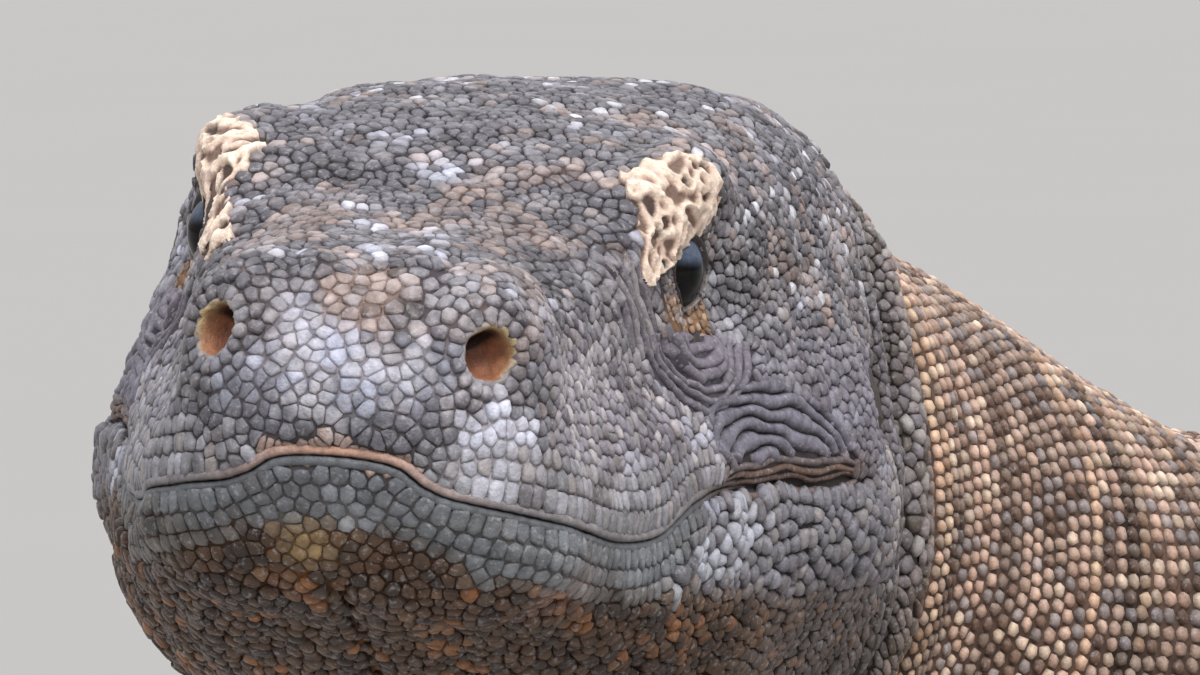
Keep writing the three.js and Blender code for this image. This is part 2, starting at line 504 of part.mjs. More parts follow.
for (const [where, leg] of Object.entries(LEGS)) {
  for (const side of [1, -1]) {
    const name = `${where}_${side > 0 ? 'left' : 'right'}`;
    const step = STEPS[name];
    const base = spineAt(leg.station).centre;
    // the leg follows its foot's step the more, the lower down it is
    const place = (p) => new THREE.Vector3(base.x + side * p[0], base.y + p[1] + step * clamp((240 - p[2]) / 190, 0, 1), p[2]);
    const [upperPoints, lowerPoints] = [leg.upper.map(place), leg.lower.map(place)];
    const size = (p) => [p[3], p[4]];
    const arm = limb(upperPoints, leg.upper.map(size), AROUND_LEG, 1, [false, true])
      .add(limb(lowerPoints, leg.lower.map(size), AROUND_LEG, 1, [true, true]));
    const lowerPath = new THREE.CatmullRomCurve3(lowerPoints, false, 'centripetal');

    // The foot's frame: ahead along the toes, out to the side.
    const ankle = lowerPath.getPoint(leg.wrist);
    const turn = rad(leg.splay);
    const ahead = new THREE.Vector3(side * Math.sin(turn), -Math.cos(turn), 0);
    const out = new THREE.Vector3(side * Math.cos(turn), Math.sin(turn), 0);
    const at = (x, y, z) => new THREE.Vector3(ankle.x, ankle.y, 0).addScaledVector(out, x).addScaledVector(ahead, y).add(new THREE.Vector3(0, 0, z));

    const palmGeometry = new THREE.SphereGeometry(1, 9, 5);
    palmGeometry.scale(...leg.palm.size);
    palmGeometry.applyMatrix4(new THREE.Matrix4().makeBasis(out, ahead, new THREE.Vector3(0, 0, 1)));
    palmGeometry.translate(...at(0, leg.palm.ahead, leg.palm.height).toArray());
    let foot = arm.add(solid(palmGeometry));

    leg.toes.forEach(([x, y, angle, length, r], i) => {
      const a = rad(angle);
      const dir = [Math.sin(a), Math.cos(a)];
      const along = (t, z) => at(x + dir[0] * t, y + dir[1] * t, z);
      const toePath = [along(-14, 14), along(length * 0.22, r + 6.5), along(length * 0.55, r + 2.6), along(length * 0.82, r - 1.2), along(length, r + 0.6)];
      const toeSize = [[r * 1.05, r], [r * 1.12, r * 1.08], [r * 0.95, r * 0.95], [r * 1.02, r * 0.98], [r * 0.68, r * 0.72]];
      foot = foot.add(limb(toePath, toeSize, AROUND_TOE, 1));
      // The claw goes on from the toe's flat end, and hooks down to the floor.
      const end = new THREE.CatmullRomCurve3(toePath, false, 'centripetal').getTangent(1);
      const c = leg.claw;
      const clawPath = [along(length, r + 0.6).addScaledVector(end, GAP), along(length + c * 0.5, r + 0.6), along(length + c * 0.93, 1.9)];
      const clawSize = [[r * 0.5, r * 0.58], [r * 0.33, r * 0.46], [0.75, 0.9]];
      parts[`claw_${name}_${i + 1}`] = [onFloor(limb(clawPath, clawSize, 5, 1, [false, false], end)), 'claw', 0.3];
    });
    foot = onFloor(foot);

    // Thin plain cuts across the elbow or knee and the wrist or ankle.
    const first = upperPoints[upperPoints.length - 1].clone().sub(upperPoints[upperPoints.length - 2]).normalize();
    const second = lowerPoints[1].clone().sub(lowerPoints[0]).normalize();
    const cut = (at3, dir, shift) => block(at3.clone().addScaledVector(dir, shift), dir);
    const [elbow, across] = [lowerPoints[0], first.add(second).normalize()];
    const [wrist, down] = [ankle, lowerPath.getTangent(leg.wrist)];
    const upper = foot.subtract(cut(elbow, across, -HALF_GAP)).subtract(bodyCut);
    const lower = foot.intersect(cut(elbow, across, HALF_GAP)).subtract(cut(wrist, down, -HALF_GAP));
    const hand = foot.intersect(cut(elbow, across, HALF_GAP)).intersect(cut(wrist, down, HALF_GAP));
    const names = where === 'front' ? ['upper_arm', 'forearm', 'foot'] : ['thigh', 'shank', 'foot'];
    parts[`${names[0]}_${name}`] = [upper, 'leg', 0.74];
    parts[`${names[1]}_${name}`] = [lower, 'leg', 0.74];
    parts[`${names[2]}_${name}`] = [hand, 'foot', 0.74];
  }
}

// ------------------------------------------------------------------ assembly
for (const [name, [body, colour, roughness]] of Object.entries(parts)) {
  const pieces = body.decompose().sort((a, b) => b.volume() - a.volume());
  const mesh = new THREE.Mesh(toGeometry(pieces[0]), finish(COLOURS[colour], roughness));
  mesh.name = name;
  root.add(mesh);
}
root.position.set(-ORIGIN_X, -ORIGIN_Y, 0);
root.updateMatrixWorld(true);

export default root;
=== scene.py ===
"""Looks of the komodo dragon: one skin over the CAD frame, scales on it, eyes, lids, nostrils, lips and claws."""
import math
import time

import bpy
import numpy as np
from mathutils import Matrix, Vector, kdtree, noise
from mathutils.bvhtree import BVHTree


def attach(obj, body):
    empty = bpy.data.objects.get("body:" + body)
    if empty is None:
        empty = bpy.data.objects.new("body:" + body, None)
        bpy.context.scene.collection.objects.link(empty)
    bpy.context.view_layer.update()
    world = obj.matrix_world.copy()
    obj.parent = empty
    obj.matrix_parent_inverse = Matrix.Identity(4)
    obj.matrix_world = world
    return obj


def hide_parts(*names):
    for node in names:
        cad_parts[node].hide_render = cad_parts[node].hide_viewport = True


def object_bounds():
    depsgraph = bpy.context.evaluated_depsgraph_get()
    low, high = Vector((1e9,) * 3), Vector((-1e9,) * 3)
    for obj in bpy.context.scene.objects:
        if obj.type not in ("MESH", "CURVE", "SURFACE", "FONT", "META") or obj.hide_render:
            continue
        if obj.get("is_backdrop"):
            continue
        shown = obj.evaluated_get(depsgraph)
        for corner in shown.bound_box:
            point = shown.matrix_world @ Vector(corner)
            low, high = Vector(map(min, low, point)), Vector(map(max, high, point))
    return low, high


T0 = time.time()
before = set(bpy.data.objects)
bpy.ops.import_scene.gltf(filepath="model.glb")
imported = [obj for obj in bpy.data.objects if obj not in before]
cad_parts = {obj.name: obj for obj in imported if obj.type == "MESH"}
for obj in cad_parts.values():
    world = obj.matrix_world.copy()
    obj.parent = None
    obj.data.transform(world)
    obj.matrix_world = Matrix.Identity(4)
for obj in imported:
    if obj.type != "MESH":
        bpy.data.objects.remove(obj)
CAD_LOW, CAD_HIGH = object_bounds()
rng = np.random.RandomState(11)


def told(what):
    print(f"[scene] {time.time() - T0:6.1f}s {what}", flush=True)


# ============================================================ dimensions (mm)
MOUTH_HEIGHT = 455.0
HEAD_YAW, HEAD_PITCH, HEAD_ROLL = 22.1, 5.64, 4.27
ORIGIN = np.array([-98.33, 1163.86, 0.0])     # middle of the outline, from the mouth
SNOUT_CAP = 40.0
MOUTH_CORNER = 170.0
NECK_END, VENT, TAIL_TIP = 425.0, 1262.0, 2560.0


def head_height(d):
    return MOUTH_HEIGHT - d * math.sin(math.radians(HEAD_PITCH))


SPINE_YAW = [[-20, HEAD_YAW], [0, HEAD_YAW], [120, HEAD_YAW], [180, 20.5], [215, 18], [260, 12.5], [320, 5.5], [400, 0],
             [520, -4], [700, -3], [900, 3], [1080, 4], [1262, -4], [1400, -16], [1560, -26], [1760, -26],
             [1950, -8], [2130, 18], [2320, 36], [2480, 40], [2560, 36]]
SPINE_HEIGHT = [[-20, head_height(-20)], [0, head_height(0)], [120, head_height(120)], [205, head_height(205)],
                [265, 421], [330, 396], [400, 363],
                [470, 331], [560, 306], [700, 289], [860, 281.5], [1000, 283.5], [1120, 290], [1200, 283],
                [1290, 248], [1390, 190], [1500, 127], [1610, 78], [1720, 51], [1850, 36.5], [1990, 28.6],
                [2140, 22.4], [2300, 16], [2430, 10.6], [2520, 7], [2560, 5.6]]
SPINE_ROLL = [[-20, HEAD_ROLL], [0, HEAD_ROLL], [120, HEAD_ROLL], [215, HEAD_ROLL], [300, 2.4], [400, 0], [2560, 0]]
LEAN = [[0, 0], [110, 0], [150, 1.2], [180, 2.6], [210, 3.6], [245, 3.6], [310, 2], [400, 0], [2560, 0]]
# distance, crownZ, browY, browZ, cheekY, cheekZ, lipY, lipZ, jawY, jawZ, gularY, gularZ, throatZ
HEAD_ROWS = [
    [20, 40.5, 26, 35, 34.5, 15, 41.5, -8, 36, -20, 21, -25.5, -27],
    [40, 43, 27.5, 37, 38, 17, 44, -10.5, 40, -23, 24, -30, -32],
    [60, 47.5, 31, 41, 43, 20, 49, -12, 46, -26, 28, -36, -39],
    [80, 54, 35.5, 48, 48, 23, 54, -8.6, 51, -28, 32, -42, -46],
    [100, 62.5, 43, 57, 52.5, 27, 59, -1.2, 56, -29, 36, -47, -52],
    [120, 69, 47, 62, 57, 31, 64, 0.6, 61, -29.5, 40, -51, -57],
    [140, 73, 46, 65, 60.5, 34, 70, 1.5, 65, -30, 42, -54, -61],
    [160, 75.5, 45.5, 68, 63, 37, 75.5, 2, 68, -31, 44, -57, -65],
    [180, 77.5, 44.5, 71.5, 65, 40, 79, 2.5, 69.5, -32.5, 46, -60, -69],
    [200, 78.5, 44, 72.5, 65, 42, 79, 1, 70.5, -36, 48, -63, -72],
    [220, 78, 43.5, 71.5, 65, 42, 78, -2, 71.5, -40, 51, -67, -76]]
BODY_ROWS = [
    [240, 73.5, 76, 82, 2.0], [290, 80, 80, 88, 2.0], [350, 95, 88, 98, 2.06], [420, 113, 93.5, 112, 2.12],
    [500, 128, 102, 131, 2.25], [580, 135, 108, 144, 2.25], [700, 149, 113, 156, 2.2], [850, 157, 115, 158, 2.2],
    [980, 146, 113, 148, 2.15], [1080, 124, 109, 128, 2.1], [1170, 99, 99, 104, 2.1], [1262, 75, 84, 78, 2.1],
    [1350, 60, 74, 66, 2.05], [1480, 48, 65, 57, 2.0], [1610, 39, 58, 51, 1.95], [1760, 30.5, 49, 43, 1.9],
    [1900, 24, 40, 35, 1.9], [2080, 17.5, 29.5, 26.8, 1.9], [2260, 12, 21, 19.4, 1.9], [2400, 8, 14, 13.4, 1.9],
    [2500, 5.4, 9.2, 9.2, 1.9], [2560, 4.4, 7, 7.2, 1.9]]
LINE_ANGLES = np.radians([0, 20, 40, 58, 75, 95, 122, 150, 180])
# rounded forms on the head: centre (distance, half width, height), reach, height
HEAD_FORMS = [
    [(111, 47, 59), (19, 11, 10), 4.4], [(97, 40, 54), (11, 9, 9), 1.6], [(109, 53, 41), (17, 12, 12), -5.6],
    [(111, 58, 23), (22, 12, 10), 1.6], [(15, 27, 24), (13, 13, 13), 2.6], [(8, 0, 30), (14, 13, 11), 0.8],
    [(82, 0, 58), (26, 20, 14), -1.8], [(62, 45, 22), (28, 14, 13), -1.8], [(60, 51, -3), (60, 14, 7), 1.0],
    [(166, 78, -12), (26, 14, 17), 2.2], [(156, 62, 46), (26, 16, 20), 1.4], [(200, 79, 20), (10, 10, 13), -3.2],
    [(176, 80, 3), (9, 10, 7), -2.4], [(205, 40, 77), (30, 14, 12), 1.2]]
# forms on the body: distance, angle from the back line, reach along, reach round (degrees), height
BODY_FORMS = [
    [246, 96, 9, 48, 2.6], [232, 84, 6.5, 55, -2.8], [262, 90, 7, 60, -2.2], [270, 160, 16, 34, 4],
    [478, 52, 50, 26, 7], [515, 92, 52, 28, 6], [590, 76, 32, 34, -5], [960, 112, 46, 30, -5],
    [1075, 58, 55, 24, 7], [1110, 98, 60, 30, 8], [760, 0, 210, 13, -2.5], [372, 104, 40, 26, -2.5]]
SNOUT_OVERHANG, CHIN_SETBACK = 3.2, 2.6
MOUTH_LINE = [[-14, 1.2], [0, 0.4], [2, -0.7], [4, -3.6], [8, -6.1], [16, -7.5], [25, -8.7], [37, -10.1],
              [56, -11.8], [68, -11.2], [78, -8.9], [87, -4], [100, -1.2], [123, 0.8], [145, 1.8], [170, 2.1]]
EYE_RADIUS = 10.3
EYE_AT = np.array([40.8, 108.6, 40.6])
NOSTRIL_AT = {1: np.array([24.3, 11.5, 21.4]), -1: np.array([-26.3, 11.5, 21.9])}
CROWN_TILT = 0.075       # the crown stands a little higher on the left
EAR_AT = np.array([71.4, 200.0, 20.0])
LEGS = {
    "front": dict(station=500,
                  upper=[[40, -6, 274, 60, 56], [92, 2, 248, 57, 54], [134, 26, 206, 44, 43], [170, 48, 166, 36, 37]],
                  lower=[[170, 48, 166, 36, 37], [181, 36, 130, 38, 40], [192, 14, 88, 30, 32], [197, 0, 54, 26, 26], [199, -2, 17, 27, 25]],
                  wrist=0.74, splay=24, palm=dict(ahead=18, size=[41, 42, 18], height=13),
                  toes=[[-26, 20, -40, 46, 9.6], [-15, 32, -17, 58, 10.2], [0, 37, 4, 64, 10.6], [15, 32, 25, 60, 10.2], [26, 18, 54, 50, 9.6]],
                  claw=30),
    "hind": dict(station=1100,
                 upper=[[30, 10, 276, 72, 68], [84, 0, 254, 68, 66], [140, -32, 220, 55, 56], [184, -60, 182, 42, 44]],
                 lower=[[184, -60, 182, 42, 44], [196, -38, 144, 44, 45], [205, -6, 102, 33, 35], [210, 14, 62, 28, 28], [212, 16, 18, 28, 27]],
                 wrist=0.75, splay=20, palm=dict(ahead=20, size=[39, 56, 19], height=14),
                 toes=[[-24, 38, -34, 48, 10.2], [-13, 54, -14, 62, 10.8], [1, 61, 2, 76, 11.2], [15, 54, 18, 88, 11.2], [27, 12, 46, 66, 10]],
                 claw=27)}
STEPS = {"front_left": -26, "front_right": 34, "hind_left": 30, "hind_right": -24}

# looks
COAT_HEAD = 1.0          # how far the skin lies inside the solids, on the head
COAT_BODY = 2.4          # and on the body
HEAD_ROUND, BODY_ROUND = 360, 180     # columns of the skin's grid
SCALE_SIDES_HEAD, SCALE_SIDES_BODY = 8, 6


# ============================================================ small functions
def track(rows, column=1):
    """A smooth curve through [x, value] rows that never overshoots them."""
    x = np.array([r[0] for r in rows], float)
    y = np.array([r[column] for r in rows], float)
    h = np.diff(x)
    m = np.diff(y) / h
    t = np.empty(len(x))
    t[0], t[-1] = m[0], m[-1]
    for i in range(1, len(x) - 1):
        t[i] = 0 if m[i - 1] * m[i] <= 0 else 3 * (h[i - 1] + h[i]) / ((2 * h[i] + h[i - 1]) / m[i - 1] + (h[i] + 2 * h[i - 1]) / m[i])

    def at(s):
        s = np.clip(np.asarray(s, float), x[0], x[-1])
        i = np.clip(np.searchsorted(x, s, side="left") - 1, 0, len(x) - 2)
        w = (s - x[i]) / h[i]
        w2, w3 = w * w, w * w * w
        return ((2 * w3 - 3 * w2 + 1) * y[i] + (w3 - 2 * w2 + w) * h[i] * t[i]
                + (-2 * w3 + 3 * w2) * y[i + 1] + (w3 - w2) * h[i] * t[i + 1])
    return at


def smooth(t):
    t = np.clip(t, 0, 1)
    return t * t * (3 - 2 * t)


def ramp(x, a, b):
    """0 at a, 1 at b, smoothly."""
    return smooth((np.asarray(x, float) - a) / (b - a))


def unit(v):
    return v / np.maximum(np.linalg.norm(v, axis=-1, keepdims=True), 1e-12)


def dots(a, b):
    return (a * b).sum(-1)


_table = np.random.RandomState(5).uniform(-1, 1, (32, 32, 32))


def wobble(p, size, octaves=2):
    """Smooth seeded noise, about -1 to 1, of points p (n, 3) with lumps of that size."""
    out = np.zeros(len(p))
    gain, total = 1.0, 0.0
    for o in range(octaves):
        q = np.asarray(p, float) / size * (2 ** o) + 17.3 * o
        i = np.floor(q).astype(int)
        f = smooth(q - i)
        v = 0
        for a in (0, 1):
            for b in (0, 1):
                for c in (0, 1):
                    w = (f[:, 0] if a else 1 - f[:, 0]) * (f[:, 1] if b else 1 - f[:, 1]) * (f[:, 2] if c else 1 - f[:, 2])
                    v = v + w * _table[(i[:, 0] + a) % 32, (i[:, 1] + b) % 32, (i[:, 2] + c) % 32]
        out += gain * v
        total += gain
        gain *= 0.5
    return out / total * 1.6


# ================================================================== the spine
yaw_at, height_at, roll_at, lean_at = track(SPINE_YAW), track(SPINE_HEIGHT), track(SPINE_ROLL), track(LEAN)


def _lay_spine():
    step = 2.0
    s = np.arange(-20, TAIL_TIP + 20 + step, step)
    mid = s + step / 2
    dz = height_at(mid + 0.5) - height_at(mid - 0.5)
    flat = np.sqrt(np.maximum(0, 1 - dz * dz))
    a = np.radians(yaw_at(mid))
    d = np.stack([-np.sin(a) * flat, np.cos(a) * flat], 1) * step
    line = np.vstack([[0, 0], np.cumsum(d, 0)])[:len(s)]
    return line - line[10]        # the tenth step is the mouth


SPINE = _lay_spine()


def spine_frame(s):
    """centre, left, back, up at distances s, in the solids' frame (mm)."""
    s = np.asarray(s, float)
    f = np.clip((s + 20) / 2.0, 0, len(SPINE) - 1.001)
    i = np.floor(f).astype(int)
    t = (f - i)[:, None]
    xy = SPINE[i] * (1 - t) + SPINE[i + 1] * t
    centre = np.column_stack([xy, height_at(s)]) + [-ORIGIN[0], -ORIGIN[1], 0]
    dz = np.clip(height_at(s + 0.5) - height_at(s - 0.5), -0.98, 0.98)
    a, b, c = np.radians(yaw_at(s)), np.arcsin(dz), np.radians(roll_at(s))
    ca, sa, cb, sb, cc, sc = np.cos(a), np.sin(a), np.cos(b), np.sin(b), np.cos(c), np.sin(c)
    # Rz(a) Rx(b) Ry(c)
    left = np.stack([ca * cc - sa * sb * sc, sa * cc + ca * sb * sc, -cb * sc], 1)
    back = np.stack([-sa * cb, ca * cb, sb], 1)
    up = np.stack([ca * sc + sa * sb * cc, sa * sc - ca * sb * cc, cb * cc], 1)
    return centre, left, back, up


H_C, H_L, H_B, H_U = (v[0] for v in spine_frame(np.array([0.0])))


def head_world(p):
    """(half width, distance, height) on the head to the solids' frame."""
    p = np.atleast_2d(p)
    return H_C + p[:, :1] * H_L + p[:, 1:2] * H_B + p[:, 2:3] * H_U


def head_local(w):
    q = np.atleast_2d(w) - H_C
    return np.stack([q @ H_L, q @ H_B, q @ H_U], 1)


# ============================================================== body outlines
_hl = [track(HEAD_ROWS, i) for i in range(1, 13)]
_bl = [track(BODY_ROWS, i) for i in range(1, 5)]


def head_lines(d):
    d = np.asarray(d, float)
    q = np.clip(d / SNOUT_CAP, 0, 1)

    def g(n):
        return np.power(np.maximum(1 - np.power(1 - q, n), 0), 1 / n)
    at = np.maximum(d, SNOUT_CAP)
    crown_z, brow_y, brow_z, cheek_y, cheek_z, lip_y, lip_z, jaw_y, jaw_z, gular_y, gular_z, throat_z = (f(at) for f in _hl)
    wide, g_top, g_low = g(2.0), g(2.15), g(2.0)
    middle = 4.0

    def high(z):
        return middle * np.minimum(1, wide * 1.6) + (z - middle) * np.where(z > middle, g_top, g_low)
    bulge = 2.6 + 1.2 * smooth((at - 112) / 40) + 1.5 * smooth((80 - at) / 30)
    zero = np.zeros_like(d)
    rows = [(zero, high(crown_z)), (brow_y * 0.52 * wide, high(crown_z - (crown_z - brow_z) * 0.16)), (brow_y * wide, high(brow_z)),
            (((brow_y + cheek_y) / 2 + bulge * 0.85) * wide, high((brow_z + cheek_z) / 2 + bulge * 0.52)),
            (cheek_y * wide, high(cheek_z)), (lip_y * wide, high(lip_z)), (jaw_y * wide, high(jaw_z)),
            (gular_y * wide, high(gular_z)), (zero, high(throat_z))]
    return np.stack([np.stack(r, -1) for r in rows], 1)


def body_lines(s):
    w, up, down, n = (f(s)[:, None] for f in _bl)
    c, k = np.cos(LINE_ANGLES)[None], np.abs(np.sin(LINE_ANGLES))[None]
    return np.stack([w * np.power(k, 2 / n), np.sign(c) * np.where(c > 0, up, down) * np.power(np.abs(c), 2 / n)], -1)


def rings(s):
    """(n, 16, 2) control points round the body at distances s."""
    s = np.asarray(s, float)
    head = head_lines(np.minimum(s, 220))
    t = smooth((s - 220) / 90)[:, None, None]
    half = head + (body_lines(s) - head) * t
    other = half[:, 7:0:-1] * [-1, 1]
    return np.concatenate([half, other], 1)


def outline(ring, index, u):
    """Points of the outlines ring[index] at u."""
    f = (u % 1.0) * 16
    i = np.floor(f).astype(int)
    t = (f - i)[:, None]
    p0, p1, p2, p3 = (ring[index, (i + k) % 16] for k in (-1, 0, 1, 2))
    return 0.5 * (2 * p1 + (p2 - p0) * t + (2 * p0 - 5 * p1 + 4 * p2 - p3) * t * t + (3 * p1 - p0 - 3 * p2 + p3) * t ** 3)


def bell(x, reach):
    return np.exp(-(x * x) / (reach * reach))


def plain(s, u):
    us, index = np.unique(s, return_inverse=True)
    o = outline(rings(us), index, u)
    front = np.clip(1 - s / 32, 0, 1)
    shift = front * (CHIN_SETBACK * bell(o[:, 1] + 14, 9) - SNOUT_OVERHANG * bell(o[:, 1] - 13, 12))
    tilt = CROWN_TILT * o[:, 0] * smooth((s - 118) / 60) * (1 - smooth((s - 215) / 60)) * smooth((o[:, 1] - 10) / 45)
    return np.stack([o[:, 0] + lean_at(s), s + shift, o[:, 1] + tilt], 1)


def form_height(p, s, u):
    out = np.zeros(len(p))
    side = np.abs(p[:, 0] - lean_at(s))
    on = s < 240
    for at, reach, high in HEAD_FORMS:
        e = ((p[:, 1] - at[0]) / reach[0]) ** 2 + ((side - at[1]) / reach[1]) ** 2 + ((p[:, 2] - at[2]) / reach[2]) ** 2
        out += np.where(on & (e < 9), high * np.exp(-e), 0)
    on = s > 200
    angle = 360 * np.minimum(u, 1 - u)
    for at, centre, along, across, high in BODY_FORMS:
        e = ((s - at) / along) ** 2 + ((angle - centre) / across) ** 2
        out += np.where(on & (e < 9), high * np.exp(-e), 0)
    return out


# ------------------------------------------------- fine forms of the skin only
def groove(x, width):
    """A narrow V in the skin: 1 in its middle, 0 beyond about two widths."""
    return np.exp(-np.abs(x / width) ** 1.5)


CHEEK_AT, EYE_FOLDS_AT = (129.0, -4.0, 1.8), (103.0, 31.5, 1.35)      # middle (distance, height) and stretch along


def cheek_arcs(x, d, z):
    """Folds that arch from under the eye over the corner of the mouth: phase (in folds) and strength."""
    rise = np.sqrt(((d - CHEEK_AT[0]) / CHEEK_AT[2]) ** 2 + (z - CHEEK_AT[1]) ** 2)
    phase = -14.3 * np.log(1 - np.minimum(rise, 50) / 60) + 0.30 * np.sin(d / 6.0 + rise * 0.25) + 0.16 * np.sin(d / 2.4 - rise * 0.45)
    strength = ramp(-rise, -26, -23) * ramp(z - rictus(d), 4.6, 6.4) * ramp(d, 98, 104) * ramp(-d, -174, -160) * (x > 40)
    return phase, strength


def eye_arcs(x, d, z):
    """Half-round folds under the eye."""
    r = np.sqrt(((d - EYE_FOLDS_AT[0]) / EYE_FOLDS_AT[2]) ** 2 + (z - EYE_FOLDS_AT[1]) ** 2)
    strength = ramp(r, 2.0, 3.0) * ramp(-r, -20, -18.4) * ramp(-z, -29.5, -27.5) * (x > 30)
    return r / 2.1, strength


def uneven(k):
    """A number from 0 to 1 for each whole number k."""
    return (np.sin(np.asarray(k) * 12.9898 + 4.1) * 43758.5453) % 1


def rictus(d):
    """Height of the crease that carries the mouth line on behind its corner."""
    return -0.9 + 0.052 * (d - 101) + 0.5 * np.sin(d / 5)


def fine_height(p, s, u):
    """Folds, wrinkles and veins of skin, in mm along the normal, on top of the solids' forms."""
    x, d, z = p[:, 0] - lean_at(s), p[:, 1], p[:, 2]
    side = np.abs(x)
    out = np.zeros(len(p))
    h = s < 262
    q = p[h]
    xs, ds, zs = side[h], d[h], z[h]
    o = np.zeros(len(q))
    ph, st = cheek_arcs(xs, ds, zs)
    o -= 0.7 * st
    ph, st = eye_arcs(xs, ds, zs)
    o -= 2.3 * st * groove(ph * 2.1 - 12.4, 1.1)
    o -= 0.5 * st * ramp(ph * 2.1, 12, 13)
    o += 2.0 * np.exp(-((ds - 103) / 11) ** 2 - ((zs - 23.5) / 5.4) ** 2) * (xs > 30)
    # rictal crease: the mouth line goes on as a brown double fold
    line = rictus(ds)
    rict = ramp(ds, 88, 108) * ramp(-ds, -190, -166)
    o -= 1.5 * rict * groove(zs - line, 1.3)
    o -= 0.5 * rict * np.exp(-((zs - line - 2.8) / 2.6) ** 2)
    # an upright furrow behind the jowl beads
    o -= 1.8 * groove(ds - 169 - 0.12 * (zs + 20) - 1.2 * np.sin(zs / 6), 1.5) * ramp(-zs, 2, 9) * ramp(zs, -50, -38) * (xs > 30)
    # sweeping folds of the jowl, back and down to the throat
    bend = ds - 0.6 * (zs + 10) + 0.006 * (zs + 10) ** 2
    ph = bend / 3.3
    st = ramp(ds, 138, 156) * ramp(-zs, 16, 24) * ramp(xs, 18, 34) * ramp(-ds, -226, -214)
    o -= 0.9 * st * groove(np.abs(ph % 1 - 0.5), 0.2)
    # throat: a groove down the middle, and soft lengthwise furrows
    under = ramp(-zs, 17, 26) * ramp(-ds, -200, -150)
    o -= 2.2 * under * groove(xs - 0.7 * np.sin(ds / 11), 1.5) * ramp(ds, 9, 20)
    o -= 0.8 * under * groove(np.abs((xs / 9.5 + 0.5) % 1 - 0.5), 0.13) * ramp(ds, 22, 40)
    o += 1.7 * np.exp(-((ds - 20) / 12) ** 2 - ((xs - 21) / 9) ** 2 - ((zs - 36) / 10) ** 2)
    o -= 1.5 * np.exp(-((ds - 27) / 13) ** 2 - (xs / 7.5) ** 2) * (zs > 28)
    # bridge of the snout, hollow behind each nostril, rim of the brow
    o -= 0.9 * np.exp(-((ds - 46) / 14) ** 2 - (xs / 5.5) ** 2) * (zs > 30)
    o -= 1.2 * np.exp(-((ds - 33) / 8) ** 2 - ((xs - 34) / 7) ** 2 - ((zs - 30) / 8) ** 2)
    o += 0.8 * np.exp(-((xs - 41) / 3.0) ** 2 - ((ds - 122) / 16) ** 2) * (zs > 52)
    # a ridge from the brow forward to the nostril (the canthus)
    canthus = 33 + (ds - 40) * 0.16
    o += 1.1 * ramp(ds, 26, 44) * ramp(-ds, -100, -84) * np.exp(-((xs - canthus) / 4.2) ** 2) * (zs > 22)
    # swollen rims of the nostrils, parted from the bridge by a crease
    o += 1.5 * np.exp(-((ds - 14) / 10) ** 2 - ((xs - 22) / 7) ** 2 - ((zs - 30) / 8) ** 2)
    o -= 1.6 * groove(xs - 12.5 - 0.10 * ds, 2.2) * ramp(ds, 3, 9) * ramp(-ds, -34, -24) * (zs > 22)
    # slanting wrinkles before the eye
    slant = ds + 0.62 * (zs - 30)
    st = np.exp(-((slant - 74) / 13) ** 2) * ramp(zs, 8, 16) * ramp(-zs, -46, -38) * (xs > 28)
    o -= 1.0 * st * groove(np.abs((slant / 5.6 + 0.12 * np.sin(zs / 3.1)) % 1 - 0.5), 0.16)
    # lumps
    o += 0.8 * wobble(q, 9, 2) * ramp(ds, 0, 10)
    o += 0.35 * wobble(q + 90, 24, 1)
    out[h] = o
    # collar folds behind the head
    a = 360 * np.minimum(u, 1 - u)
    band = ramp(a, 34, 60)
    wave = 2.2 * np.sin(a / 13) + 3 * wobble(np.stack([a, x * 0 + 3, s * 0], 1), 30, 1)
    for at, deep in ((214, 1.9), (225, 2.5), (237, 2.0), (250, 2.5), (267, 1.6), (286, 1.0)):
        rough = 1 + 0.5 * wobble(p + at, 16, 1)
        out -= np.where((s > 196) & (s < 300), deep * rough * band * groove(s + wave - at, 2.5), 0)
    # loose skin of the neck and flank: soft lengthwise and crossing folds
    b = s > 262
    pb = p[b]
    w = wobble(np.stack([s[b] * 0.35, pb[:, 0], pb[:, 2]], 1), 38, 2)
    out[b] += 1.2 * w * ramp(s[b], 262, 330) * ramp(-s[b], -1500, -1200)
    ab = a[b]
    for at, reach, deep in ((432, 5, 1.8), (556, 6, 1.6), (606, 7, 2.2), (1008, 7, 1.8), (1158, 6, 1.8), (1190, 5, 1.2)):
        out[b] -= deep * ramp(ab, 62, 92) * np.exp(-((s[b] - at - 10 * np.sin(ab / 38 + at)) / reach) ** 2)
    # throat and belly folds
    ph = s[b] / 23 + 0.4 * np.sin(pb[:, 0] / 31)
    out[b] -= 0.9 * ramp(ab, 118, 146) * groove(np.abs((ph + 0.5) % 1 - 0.5), 0.12) * ramp(-s[b], -1240, -1120)
    return out


def coat_depth(s):
    return COAT_HEAD + (COAT_BODY - COAT_HEAD) * ramp(s, 225, 420) - (COAT_BODY - 1.5) * ramp(s, 1500, 2300)


def surface(s, u, fine=True, lift=0.0):
    """The skin at distances s and turns u: points in the head's or spine's own frame, and in the solids' frame."""
    p = plain(s, u)
    e = 0.002
    along = plain(s + 0.5, u) - plain(np.maximum(0.01, s - 0.5), u)
    rounds = plain(s, u + e) - plain(s, u - e)
    n = unit(np.cross(along, rounds))
    flip = (n[:, 0] * p[:, 0] + n[:, 2] * p[:, 2]) < 0
    n[flip] *= -1
    grow = form_height(p, s, u) + lift
    if fine:
        grow = grow + fine_height(p, s, u) - coat_depth(s)
    q = p + n * grow[:, None]
    c, left, back, up = spine_frame(s)
    w = c + left * q[:, :1] + back * (q[:, 1:2] - s[:, None]) + up * q[:, 2:3]
    return q, w


